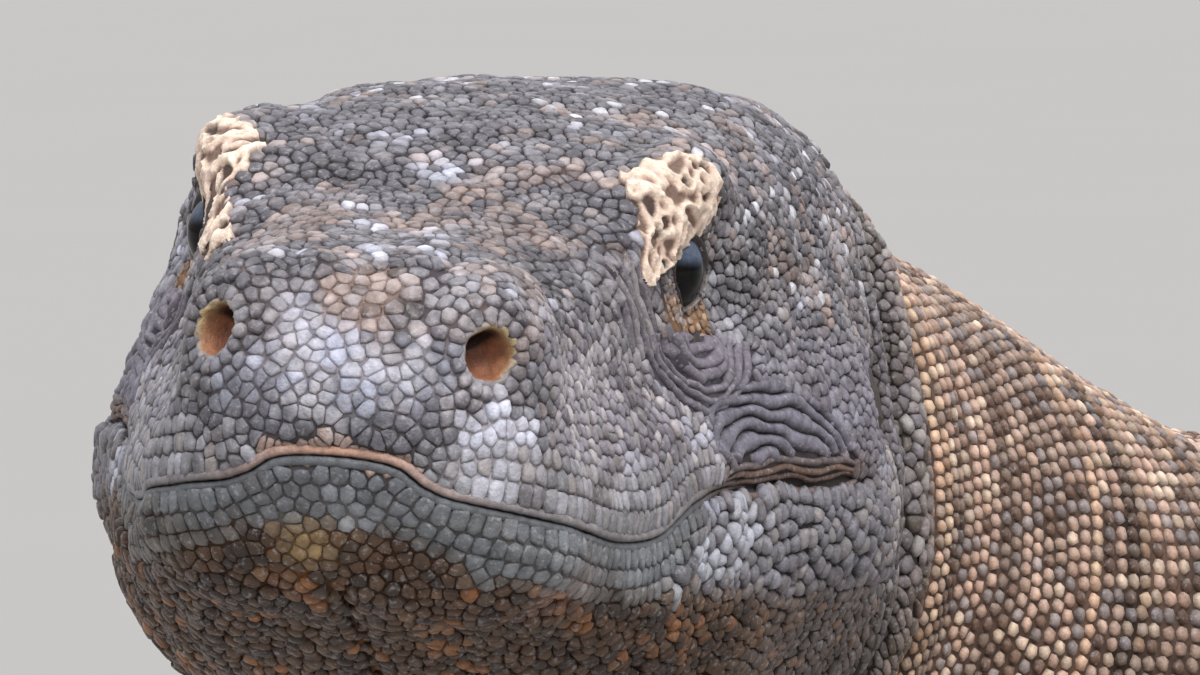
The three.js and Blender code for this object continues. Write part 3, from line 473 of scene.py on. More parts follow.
# ================================================================ mesh making
def grid_faces(rows, cols, base=0, closed=True):
    """Triangles of a grid whose rows run along and columns go round."""
    i, j = np.meshgrid(np.arange(rows - 1), np.arange(cols if closed else cols - 1), indexing="ij")
    k = (j + 1) % cols
    a, b, c, d = i * cols + j, i * cols + k, (i + 1) * cols + k, (i + 1) * cols + j
    flip = ((i + j) % 2)[..., None] == 0
    t1 = np.where(flip, np.stack([a, b, c], -1), np.stack([a, b, d], -1))
    t2 = np.where(flip, np.stack([a, c, d], -1), np.stack([b, c, d], -1))
    return np.concatenate([t1.reshape(-1, 3), t2.reshape(-1, 3)]) + base


def outward(v, t):
    """Turns all triangles over if the closed mesh is inside out."""
    a, b, c = v[t[:, 0]], v[t[:, 1]], v[t[:, 2]]
    return t[:, ::-1] if dots(a, np.cross(b, c)).sum() < 0 else t


def make_mesh(name, v, t, shade=True):
    """A mesh object from points in mm and triangles."""
    me = bpy.data.meshes.new(name)
    me.vertices.add(len(v))
    me.vertices.foreach_set("co", (np.asarray(v, float) * 0.001).astype(np.float32).ravel())
    me.loops.add(len(t) * 3)
    me.loops.foreach_set("vertex_index", np.asarray(t, np.int32).ravel())
    me.polygons.add(len(t))
    me.polygons.foreach_set("loop_start", np.arange(0, len(t) * 3, 3, dtype=np.int32))
    me.polygons.foreach_set("loop_total", np.full(len(t), 3, np.int32))
    me.polygons.foreach_set("use_smooth", np.full(len(t), shade))
    me.update(calc_edges=True)
    o = bpy.data.objects.new(name, me)
    bpy.context.scene.collection.objects.link(o)
    return o


def read_mesh(o):
    dg = bpy.context.evaluated_depsgraph_get()
    e = o.evaluated_get(dg)
    me = e.to_mesh()
    me.calc_loop_triangles()
    v = np.empty(len(me.vertices) * 3)
    me.vertices.foreach_get("co", v)
    t = np.empty(len(me.loop_triangles) * 3, np.int32)
    me.loop_triangles.foreach_get("vertices", t)
    e.to_mesh_clear()
    return v.reshape(-1, 3) * 1000, t.reshape(-1, 3)


def drop(*objects):
    for o in objects:
        me = o.data
        bpy.data.objects.remove(o)
        bpy.data.meshes.remove(me)


def vertex_normals(v, t):
    n = np.cross(v[t[:, 1]] - v[t[:, 0]], v[t[:, 2]] - v[t[:, 0]])
    out = np.zeros_like(v)
    for k in range(3):
        for a in range(3):
            out[:, a] += np.bincount(t[:, k], n[:, a], len(v))
    return unit(out)


def colour_layer(o, colours, name="hue"):
    """A colour for each vertex, linear."""
    layer = o.data.color_attributes.new(name, "FLOAT_COLOR", "POINT")
    rgba = np.ones((len(colours), 4), np.float32)
    rgba[:, :3] = colours
    layer.data.foreach_set("color", rgba.ravel())


def value_layer(o, values, name):
    layer = o.data.attributes.new(name, "FLOAT", "POINT")
    layer.data.foreach_set("value", np.asarray(values, np.float32))


def linear(c):
    c = np.asarray(c, float) / 255
    return np.where(c <= 0.04045, c / 12.92, ((c + 0.055) / 1.055) ** 2.4)


# =================================================================== the legs
class Path:
    """A centripetal Catmull-Rom curve through points, evenly shared among its spans."""

    def __init__(self, points):
        self.p = np.asarray(points, float)

    def at(self, t):
        t = np.atleast_1d(np.asarray(t, float))
        p = self.p
        n = len(p)
        f = np.clip(t, 0, 1) * (n - 1)
        i = np.clip(np.floor(f).astype(int), 0, n - 2)
        w = (f - i)[:, None]
        p1, p2 = p[i], p[i + 1]
        p0 = np.where((i > 0)[:, None], p[np.maximum(i - 1, 0)], 2 * p[0] - p[1])
        p3 = np.where((i + 2 < n)[:, None], p[np.minimum(i + 2, n - 1)], 2 * p[-1] - p[-2])
        d0, d1, d2 = (np.maximum(np.linalg.norm(b - a, axis=1), 1e-6)[:, None] ** 0.5 for a, b in ((p0, p1), (p1, p2), (p2, p3)))
        t1 = ((p1 - p0) / d0 - (p2 - p0) / (d0 + d1) + (p2 - p1) / d1) * d1
        t2 = ((p2 - p1) / d1 - (p3 - p1) / (d1 + d2) + (p3 - p2) / d2) * d1
        return p1 + t1 * w + (-3 * p1 + 3 * p2 - 2 * t1 - t2) * w ** 2 + (2 * p1 - 2 * p2 + t1 + t2) * w ** 3

    def tangent(self, t):
        t = np.atleast_1d(np.asarray(t, float))
        return unit(self.at(np.minimum(t + 1e-4, 1)) - self.at(np.maximum(t - 1e-4, 0)))


def tube(path, sizes, around, count, domes=(False, False), shrink=1.0, inset=0.0, ridge=None):
    """A closed round limb along a path. sizes are [half width, half depth] shared along it."""
    n = len(sizes) - 1
    size = [track([[i / n, r[k]] for i, r in enumerate(sizes)]) for k in (0, 1)]
    t = np.linspace(0, 1, count)
    shift, scale = np.zeros(count), np.ones(count)
    dome = np.radians(np.linspace(90, 0, 9)[1:-1])
    if domes[0]:
        r = min(size[0](0), size[1](0))
        t, shift, scale = np.r_[dome * 0, t], np.r_[-np.sin(dome) * r, shift], np.r_[np.cos(dome), scale]
    if domes[1]:
        back = dome[::-1]
        r = min(size[0](1), size[1](1))
        t, shift, scale = np.r_[t, back * 0 + 1], np.r_[shift, np.sin(back) * r], np.r_[scale, np.cos(back)]
    c, d = path.at(t), path.tangent(t)
    side = unit(np.cross(d, [0, 0, 1.0]))
    other = unit(np.cross(side, d))
    c = c + d * shift[:, None]
    a = np.linspace(0, 2 * np.pi, around, endpoint=False)
    w = ((size[0](t) * shrink - inset) * scale)[:, None]
    h = ((size[1](t) * shrink - inset) * scale)[:, None]
    v = c[:, None] + (np.cos(a)[None, :] * w)[..., None] * side[:, None] + (np.sin(a)[None, :] * h)[..., None] * other[:, None]
    rows = len(t)
    verts = np.concatenate([v.reshape(-1, 3), c[:1] - 0 * d[:1], c[-1:]])
    tri = [grid_faces(rows, around)]
    j = np.arange(around)
    k = (j + 1) % around
    tri.append(np.stack([np.full(around, rows * around), k, j], 1))
    tri.append(np.stack([np.full(around, rows * around + 1), (rows - 1) * around + j, (rows - 1) * around + k], 1))
    tri = np.concatenate(tri)
    return verts, outward(verts - verts.mean(0), tri)


def ball_mesh(centre, axes, size, around=36, rows=20):
    """An ellipsoid with given axes (3 unit rows) and half sizes."""
    a = np.linspace(0, 2 * np.pi, around, endpoint=False)
    b = np.linspace(0, np.pi, rows)[1:-1]
    q = np.stack([np.sin(b)[:, None] * np.cos(a), np.sin(b)[:, None] * np.sin(a), np.cos(b)[:, None] + 0 * a], -1)
    q = np.concatenate([q.reshape(-1, 3), [[0, 0, 1]], [[0, 0, -1]]])
    v = centre + (q * size) @ np.asarray(axes)
    n = len(b)
    j = np.arange(around)
    k = (j + 1) % around
    t = np.concatenate([grid_faces(n, around), np.stack([np.full(around, n * around), k, j], 1),
                        np.stack([np.full(around, n * around + 1), (n - 1) * around + j, (n - 1) * around + k], 1)])
    return v, outward(v - v.mean(0), t)


LEG_PLACES = {}
for where, leg in LEGS.items():
    for side in (1, -1):
        name = f"{where}_{'left' if side > 0 else 'right'}"
        base = spine_frame(np.array([leg["station"]]))[0][0]
        step = STEPS[name]

        def place(p, base=base, side=side, step=step):
            return [base[0] + side * p[0], base[1] + p[1] + step * np.clip((240 - p[2]) / 190, 0, 1), p[2]]
        upper, lower = Path([place(p) for p in leg["upper"]]), Path([place(p) for p in leg["lower"]])
        ankle = lower.at(leg["wrist"])[0]
        turn = math.radians(leg["splay"])
        ahead = np.array([side * math.sin(turn), -math.cos(turn), 0])
        out = np.array([side * math.cos(turn), math.sin(turn), 0])
        toes = []
        for x, y, angle, length, r in leg["toes"]:
            a = math.radians(angle)

            def along(t, z, x=x, y=y, a=a, ankle=ankle, ahead=ahead, out=out):
                return np.array([ankle[0], ankle[1], 0]) + out * (x + math.sin(a) * t) + ahead * (y + math.cos(a) * t) + [0, 0, z]
            path = Path([along(-14, 14), along(length * 0.22, r + 6.5), along(length * 0.55, r + 2.6), along(length * 0.82, r - 1.2), along(length, r + 0.6)])
            size = [[r * 1.05, r], [r * 1.12, r * 1.08], [r * 0.95, r * 0.95], [r * 1.02, r * 0.98], [r * 0.68, r * 0.72]]
            toes.append(dict(path=path, size=size, along=along, length=length, r=r))
        LEG_PLACES[name] = dict(upper=upper, lower=lower, ankle=ankle, ahead=ahead, out=out, toes=toes, leg=leg, side=side)


def build_leg(name):
    """One limb as a single smooth closed form."""
    L = LEG_PLACES[name]
    leg = L["leg"]
    parts = [tube(L["upper"], [p[3:5] for p in leg["upper"]], 32, 30, (False, True), 0.95, 1.0),
             tube(L["lower"], [p[3:5] for p in leg["lower"]], 32, 40, (True, True), 0.95, 1.0)]
    palm = leg["palm"]
    at = np.array([L["ankle"][0], L["ankle"][1], 0]) + L["ahead"] * palm["ahead"] + [0, 0, palm["height"]]
    parts.append(ball_mesh(at, [L["out"], L["ahead"], [0, 0, 1]], np.array(palm["size"]) * 0.96 - 0.8))
    for toe in L["toes"]:
        parts.append(tube(toe["path"], toe["size"], 20, 26, (False, False), 0.93, 0.5))
        tip = toe["path"].at(1.0)[0]
        d = toe["path"].tangent(1.0)[0]
        r = toe["r"]
        parts.append(ball_mesh(tip - d * r * 0.35, [unit(np.cross(d, [0, 0, 1.0])), d, unit(np.cross(unit(np.cross(d, [0, 0, 1.0])), d))],
                               np.array([r * 0.66, r * 0.62, r * 0.68]), 20, 12))
        for t, grow in ((0.25, 1.02), (0.52, 1.04), (0.78, 1.0)):     # knuckles
            parts.append(ball_mesh(toe["path"].at(t)[0] + [0, 0, r * 0.06], [L["out"], L["ahead"], [0, 0, 1]], np.array([r, r, r]) * grow * 0.97 - 0.4, 18, 12))
    verts, tris, base = [], [], 0
    for v, t in parts:
        verts.append(v)
        tris.append(t + base)
        base += len(v)
    o = make_mesh("limb_" + name, np.concatenate(verts), np.concatenate(tris))
    m = o.modifiers.new("one", "REMESH")
    m.mode = "VOXEL"
    m.voxel_size = 0.0027
    v, t = read_mesh(o)
    drop(o)
    v[:, 2] = np.where(v[:, 2] < 4, 1.3 + 2.7 * np.exp((v[:, 2] - 4) / 2.7), v[:, 2])    # rests flat
    return v, outward(v - v.mean(0), t)


# =============================================================== smoothing
def neighbours(n, t):
    e = np.concatenate([t[:, [0, 1]], t[:, [1, 2]], t[:, [2, 0]]])
    e = np.concatenate([e, e[:, ::-1]])
    key = np.unique(e[:, 0].astype(np.int64) * n + e[:, 1])
    return (key // n).astype(np.int64), (key % n).astype(np.int64)


def relax(v, t, weight, rounds, keep_floor=True):
    """Laplacian smoothing of the points with weight over 0."""
    live = np.where(weight > 0.001)[0]
    if not len(live):
        return v
    i, j = neighbours(len(v), t)
    on = weight[i] > 0.001
    i, j = i[on], j[on]
    count = np.bincount(i, minlength=len(v)).astype(float)
    count[count == 0] = 1
    v = v.copy()
    for _ in range(rounds):
        mean = np.stack([np.bincount(i, v[j, a], len(v)) for a in range(3)], 1) / count[:, None]
        v[live] += (mean[live] - v[live]) * weight[live, None] * 0.7
    return v


def bvh_of(v, t):
    return BVHTree.FromPolygons(v.tolist(), t.tolist(), all_triangles=True)


def nearest(tree, points):
    """Closest point, triangle and distance for each of the points."""
    loc, index, dist = np.empty((len(points), 3)), np.empty(len(points), int), np.empty(len(points))
    find = tree.find_nearest
    for k, p in enumerate(points.tolist()):
        a, _, i, d = find(p)
        loc[k] = a
        index[k] = i
        dist[k] = d
    return loc, index, dist


def barycentric(v, t, index, p):
    a, b, c = v[t[index, 0]], v[t[index, 1]], v[t[index, 2]]
    v0, v1, v2 = b - a, c - a, p - a
    d00, d01, d11, d20, d21 = dots(v0, v0), dots(v0, v1), dots(v1, v1), dots(v2, v0), dots(v2, v1)
    den = np.maximum(d00 * d11 - d01 * d01, 1e-12)
    y = (d11 * d20 - d01 * d21) / den
    z = (d00 * d21 - d01 * d20) / den
    return np.clip(np.stack([1 - y - z, y, z], 1), 0, 1)


# ================================================================== the skin
def spread_rows():
    cap = SNOUT_CAP * (1 - np.cos(np.linspace(0.018, 1, 62) * np.pi / 2))
    head = np.arange(41, 233, 1.05)
    neck = np.arange(234.5, 300, 2.0)
    body = np.concatenate([np.arange(302, 700, 6.5), np.arange(700, 1500, 8.0), np.arange(1500, 2200, 7.0), np.arange(2200, 2560, 5.0), [2559.6]])
    return np.concatenate([cap, head, neck]), body


EYE_AXIS = unit(np.array([0.93, -0.35, 0.02]))     # left eye: outwards, a little forwards and up
NOSE_AXIS = unit(np.array([0.50, -0.80, 0.12]))    # the way the left nostril opens


def eye_opening(phi):
    """Half angle of the eye's opening from its axis, round it; phi 0 = towards the back, a quarter = up."""
    c, s_ = np.cos(phi), np.sin(phi)
    w, up, down = 34.0, 37.0, 41.0
    n = np.where(s_ > 0, 2.0, 2.0 - 0.62 * np.minimum(1, -s_ * 1.6))      # pointed below
    return np.power(np.power(np.abs(c) / w, n) + np.power(np.abs(s_) / np.where(s_ > 0, up, down), n), -1 / n)


def eye_basis(side):
    a = EYE_AXIS * [side, 1, 1]
    back = unit(np.array([0, 1.0, 0]) - a * a[1])
    up = unit(np.cross(a, back)) * side
    if up[2] < 0:
        up = -up
    return a, back, up


def nose_basis(side):
    a = NOSE_AXIS * [side, 1, 1]
    up = unit(np.array([0, 0, 1.0]) - a * a[2])
    across = np.cross(up, a)        # to the animal's left for both
    return a, across, up


def sink_openings(w):
    """Moves the skin behind the eyes, nostrils and eardrums so that those show."""
    p = head_local(w)
    near = (p[:, 1] < 225) & (p[:, 1] > -12)
    q = p[near]
    for side in (1, -1):
        centre = EYE_AT * [side, 1, 1]
        a, back, up = eye_basis(side)
        r = q - centre
        rho = np.linalg.norm(r, axis=1)
        th = np.degrees(np.arccos(np.clip(dots(r, a) / np.maximum(rho, 1e-6), -1, 1)))
        phi = np.arctan2(r @ up, r @ back)
        lim = eye_opening(phi)
        m = (rho < 30) & (th < lim + 30)
        t = 1 - ramp(th, lim + 9, lim + 21)
        target = np.minimum(rho, EYE_RADIUS - 2.2)
        new = rho + (target - rho) * t
        q[m] = (centre + r / np.maximum(rho, 1e-6)[:, None] * new[:, None])[m]
        # nostril
        a, across, up = nose_basis(side)
        centre = nose_centre[side]
        r = q - centre
        x, y = r @ across / 5.2, r @ up / 5.4
        e = np.sqrt(x * x + y * y)
        m = (np.abs(r @ a) < 16) & (e < 1.6) & (q[:, 1] < 34)
        push = 11.0 * (1 - ramp(e, 0.72, 1.12)) + 0.8 * (1 - ramp(e, 1.0, 1.5))
        q[m] -= (a * push[:, None])[m]
        # ear
        centre = EAR_AT * [side, 1, 1] + [4.6 * side + float(lean_at(200)), 0, 0]
        r = q - centre
        e = np.sqrt((r[:, 1] / 6.6) ** 2 + (r[:, 2] / 9.4) ** 2)
        m = (np.sign(q[:, 0]) == side) & (e < 1.6)
        push = 4.2 * (1 - ramp(e, 0.75, 1.2))
        q[m, 0] -= side * push[m]
    p[near] = q
    out = w.copy()
    out[near] = head_world(q)
    return out


# The centre of each nostril, on the plain surface.
def _find_nostrils():
    d, u = np.meshgrid(np.linspace(2, 32, 90), np.linspace(0.05, 0.3, 160), indexing="ij")
    q, _ = surface(d.ravel(), u.ravel(), fine=False)
    out = {}
    for side in (1, -1):
        qq = q * [side, 1, 1]
        a = NOSE_AXIS * [side, 1, 1]
        r = qq - NOSTRIL_AT[side]
        away = np.linalg.norm(r - (r @ a)[:, None] * a, axis=1)
        best = qq[np.argmin(away + 0.001 * np.abs(r @ a))]
        out[side] = best
    return out


nose_centre = _find_nostrils()
told(f"nostrils {nose_centre}")

head_rows, body_rows = spread_rows()


def build_tube():
    """The fine skin from snout to tail tip, without legs."""
    us = np.arange(HEAD_ROUND) / HEAD_ROUND
    s = np.repeat(head_rows, HEAD_ROUND)
    q, w = surface(s, np.tile(us, len(head_rows)))
    w = sink_openings(w)
    n1 = len(w)
    vb = np.arange(BODY_ROUND) / BODY_ROUND
    s2 = np.repeat(body_rows, BODY_ROUND)
    u2 = np.tile(vb, len(body_rows))
    _, w2 = surface(s2, u2)
    verts = [w, w2]
    faces = [grid_faces(len(head_rows), HEAD_ROUND), grid_faces(len(body_rows), BODY_ROUND, n1)]
    # two columns to one between the head's grid and the body's
    last = (len(head_rows) - 1) * HEAD_ROUND
    j = np.arange(BODY_ROUND)
    k = (j + 1) % BODY_ROUND
    a, b, c = last + 2 * j, last + 2 * j + 1, last + (2 * k)
    p, r = n1 + j, n1 + k
    faces.append(np.concatenate([np.stack([a, b, p], 1), np.stack([b, r, p], 1), np.stack([b, c, r], 1)]))
    total = n1 + len(w2)
    tip = surface(np.array([0.004]), np.array([0.0]))[1]
    tip = w[:HEAD_ROUND].mean(0, keepdims=True)
    tail = w2[-BODY_ROUND:].mean(0, keepdims=True)
    d = np.arange(HEAD_ROUND)
    faces.append(np.stack([np.full(HEAD_ROUND, total), (d + 1) % HEAD_ROUND, d], 1))
    e0 = total - BODY_ROUND
    faces.append(np.stack([np.full(BODY_ROUND, total + 1), e0 + j, e0 + k], 1))
    v = np.concatenate(verts + [tip, tail])
    f = np.concatenate(faces)
    low = v[:, 2] < 5                       # the tail rests flat on the floor
    v[low, 2] = 1.6 + 3.4 * np.exp((v[low, 2] - 5) / 3.4)
    return v, outward(v - v.mean(0), f)


tube_v, tube_t = build_tube()
told(f"body tube {len(tube_t)} triangles")
body_obj = make_mesh("skin_work", tube_v, tube_t)
limb_meshes = []
for name in LEG_PLACES:
    v, t = build_leg(name)
    limb_meshes.append((name, v, t))
told(f"limbs {[len(t) for _, _, t in limb_meshes]} triangles")
limb_objs = []
for name, v, t in limb_meshes:
    o = make_mesh("limb_work_" + name, v, t)
    limb_objs.append(o)
    m = body_obj.modifiers.new("join_" + name, "BOOLEAN")
    m.operation = "UNION"
    m.object = o
    m.solver = "MANIFOLD"
skin_v, skin_t = read_mesh(body_obj)
drop(body_obj, *limb_objs)
told(f"joined skin {len(skin_t)} triangles")

# How far each point is from the seam between limb and body.
tube_tree = bvh_of(tube_v, tube_t)
centres = {n: v.mean(0) for n, v, _ in limb_meshes}
in_reach = np.zeros(len(skin_v), bool)
for n, v, t in limb_meshes:
    lo, hi = v.min(0) - 40, v.max(0) + 40
    in_reach |= ((skin_v > lo) & (skin_v < hi)).all(1)
in_reach &= skin_v[:, 1] > -880
idx = np.where(in_reach)[0]
tube_dist = np.zeros(len(skin_v))
_, _, dt = nearest(tube_tree, skin_v[idx])
tube_dist[idx] = dt
limb_dist = np.full(len(skin_v), 1e3)
for n, v, t in limb_meshes:
    lo, hi = v.min(0) - 40, v.max(0) + 40
    k = np.where(((skin_v > lo) & (skin_v < hi)).all(1) & in_reach)[0]
    _, _, dl = nearest(bvh_of(v, t), skin_v[k])
    limb_dist[k] = np.minimum(limb_dist[k], dl)
seam = np.maximum(tube_dist, limb_dist)
weight = np.where(in_reach, 1 - ramp(seam, 10, 34), 0)
skin_v = relax(skin_v, skin_t, weight, 60)
on_limb = in_reach & (tube_dist > 4)
limb_only = np.where(on_limb & (skin_v[:, 2] > 6), 0.5, 0.0)
skin_v = relax(skin_v, skin_t, limb_only * (1 - weight), 3)
skin_v[:, 2] = np.maximum(skin_v[:, 2], 0.9)
tip_far = np.linalg.norm(skin_v - tube_v[-2], axis=1)
skin_v = relax(skin_v, skin_t, np.where(tip_far < 20, 0.9 * (1 - ramp(tip_far, 7.5, 17)), 0), 90)
told("seams smoothed")


# ========================================================= where a point lies
_ss = np.concatenate([np.arange(3, 300, 6.0), np.arange(300, 2560, 12.0)])
_uu = np.arange(48) / 48
_gs, _gu = np.repeat(_ss, 48), np.tile(_uu, len(_ss))
_gw = surface(_gs, _gu, fine=False)[1]
_near = kdtree.KDTree(len(_gw))
for k, p in enumerate(_gw.tolist()):
    _near.insert(p, k)
_near.balance()


def body_place(points):
    """Rough distance along the spine, and turn round it, of points."""
    find = _near.find
    k = np.array([find(p)[1] for p in points.tolist()], int)
    return _gs[k], _gu[k]


def place_fine(points):
    """Distance along the spine of points near the head, to about a millimetre."""
    k, u = body_place(points)
    c, _, back, _ = spine_frame(k)
    return k + dots(points - c, back), u


# ================================================================== mouth line
def find_mouth():
    d = np.concatenate([np.linspace(0.05, 8, 60), np.arange(8.5, 176, 0.8)])
    pts = []
    line = track(MOUTH_LINE)
    for side in (1, -1):
        u = np.linspace(0.1, 0.45, 700) if side > 0 else np.linspace(0.9, 0.55, 700)
        S, U = np.repeat(d, 700), np.tile(u, len(d))
        q, w = surface(S, U)
        f = (q[:, 2] - line(q[:, 1])).reshape(len(d), 700)
        cross = (f[:, :-1] > 0) & (f[:, 1:] <= 0)
        has = cross.any(1)
        k = cross.argmax(1)
        r = np.arange(len(d))[has]
        k = k[has]
        t = (f[r, k] / (f[r, k] - f[r, k + 1]))[:, None]
        w = w.reshape(len(d), 700, 3)
        x = w[r, k] * (1 - t) + w[r, k + 1] * t
        key = side * np.linalg.norm(head_local(x)[:, :2] * [1, 1], axis=1)
        pts.append((key, x))
    key = np.concatenate([p[0] for p in pts])
    x = np.concatenate([p[1] for p in pts])
    order = np.argsort(key)
    x = x[order]
    # the two sides are joined across the middle of the snout by a smooth bridge
    x = x[np.abs(head_local(x)[:, 0]) > 5.0]
    h_ = head_local(x)
    left_, right_ = np.where(h_[:, 0] > 0)[0][:8], np.where(h_[:, 0] < 0)[0][-8:]
    near_ = h_[np.r_[right_, left_]]
    fit_ = [np.polyfit(near_[:, 0] ** 2, near_[:, a], 1) for a in (1, 2)]
    mid_ = np.linspace(-4.6, 4.6, 17)
    bridge_ = head_world(np.stack([mid_, np.polyval(fit_[0], mid_ ** 2), np.polyval(fit_[1], mid_ ** 2)], 1))
    bridge_ = nearest(tube_tree, bridge_)[0]
    x = np.concatenate([x[:right_[-1] + 1], bridge_, x[left_[0]:]])
    # evenly spaced along its length, lightly smoothed
    for _ in range(6):
        x[1:-1] = (x[:-2] + 2 * x[1:-1] + x[2:]) / 4
    cum = np.r_[0, np.cumsum(np.linalg.norm(np.diff(x, axis=0), axis=1))]
    grid = np.arange(0, cum[-1], 0.6)
    return np.stack([np.interp(grid, cum, x[:, a]) for a in range(3)], 1)


mouth = find_mouth()
told(f"mouth line {len(mouth)} points, from {head_local(mouth[:1])[0].round(1)} to {head_local(mouth[-1:])[0].round(1)}")
mouth_tree = kdtree.KDTree(len(mouth))
for k, p in enumerate(mouth.tolist()):
    mouth_tree.insert(p, k)
mouth_tree.balance()


if True:            # onto the smoothed front of the snout
    moved_ = nearest(bvh_of(skin_v, skin_t), mouth)[0]
    kk_ = np.ones(9) / 9
    moved_ = np.stack([np.convolve(np.pad(moved_[:, a], 4, mode="edge"), kk_, "valid") for a in range(3)], 1)
    w_ = np.exp(-(head_local(mouth)[:, :1] / 14) ** 4)
    mouth = mouth * (1 - w_) + moved_ * w_
    mouth_tree = kdtree.KDTree(len(mouth))
    for k, p in enumerate(mouth.tolist()):
        mouth_tree.insert(p, k)
    mouth_tree.balance()


def mouth_distance(points):
    find = mouth_tree.find
    got = [find(p) for p in points.tolist()]
    return np.array([g[2] for g in got]), np.array([g[1] for g in got], int)


head_part = np.where(skin_v[:, 1] < head_world([0, 215, 0])[0, 1])[0]
hl = head_local(skin_v[head_part])
front = head_part[(hl[:, 1] < 190) & (np.abs(hl[:, 2]) < 34)]
md, mi = mouth_distance(skin_v[front])
normals = vertex_normals(skin_v, skin_t)
_t = kdtree.KDTree(len(front))
for k, p in enumerate(skin_v[front].tolist()):
    _t.insert(p, k)
_t.balance()
mouth_out = unit(np.array([normals[front[[x[1] for x in _t.find_n(q, 12)]]].sum(0) for q in mouth.tolist()]))
dl = head_local(mouth[mi])[:, 1]
deep = 2.2 * np.exp(-(md / 1.7) ** 2) * (1 - 0.75 * ramp(dl, 92, 124))
skin_v[front] -= normals[front] * deep[:, None]
skin_v0 = skin_v
normals = vertex_normals(skin_v, skin_t)
skin_tree = bvh_of(skin_v, skin_t)
told("skin ready")


def on_skin(points):
    """Projects points on the skin: places, smooth normals, and the distance moved."""
    loc, index, dist = nearest(skin_tree, points)
    w = barycentric(skin_v, skin_t, index, loc)
    n = unit((normals[skin_t[index]] * w[..., None]).sum(1))
    return loc, n, dist, index


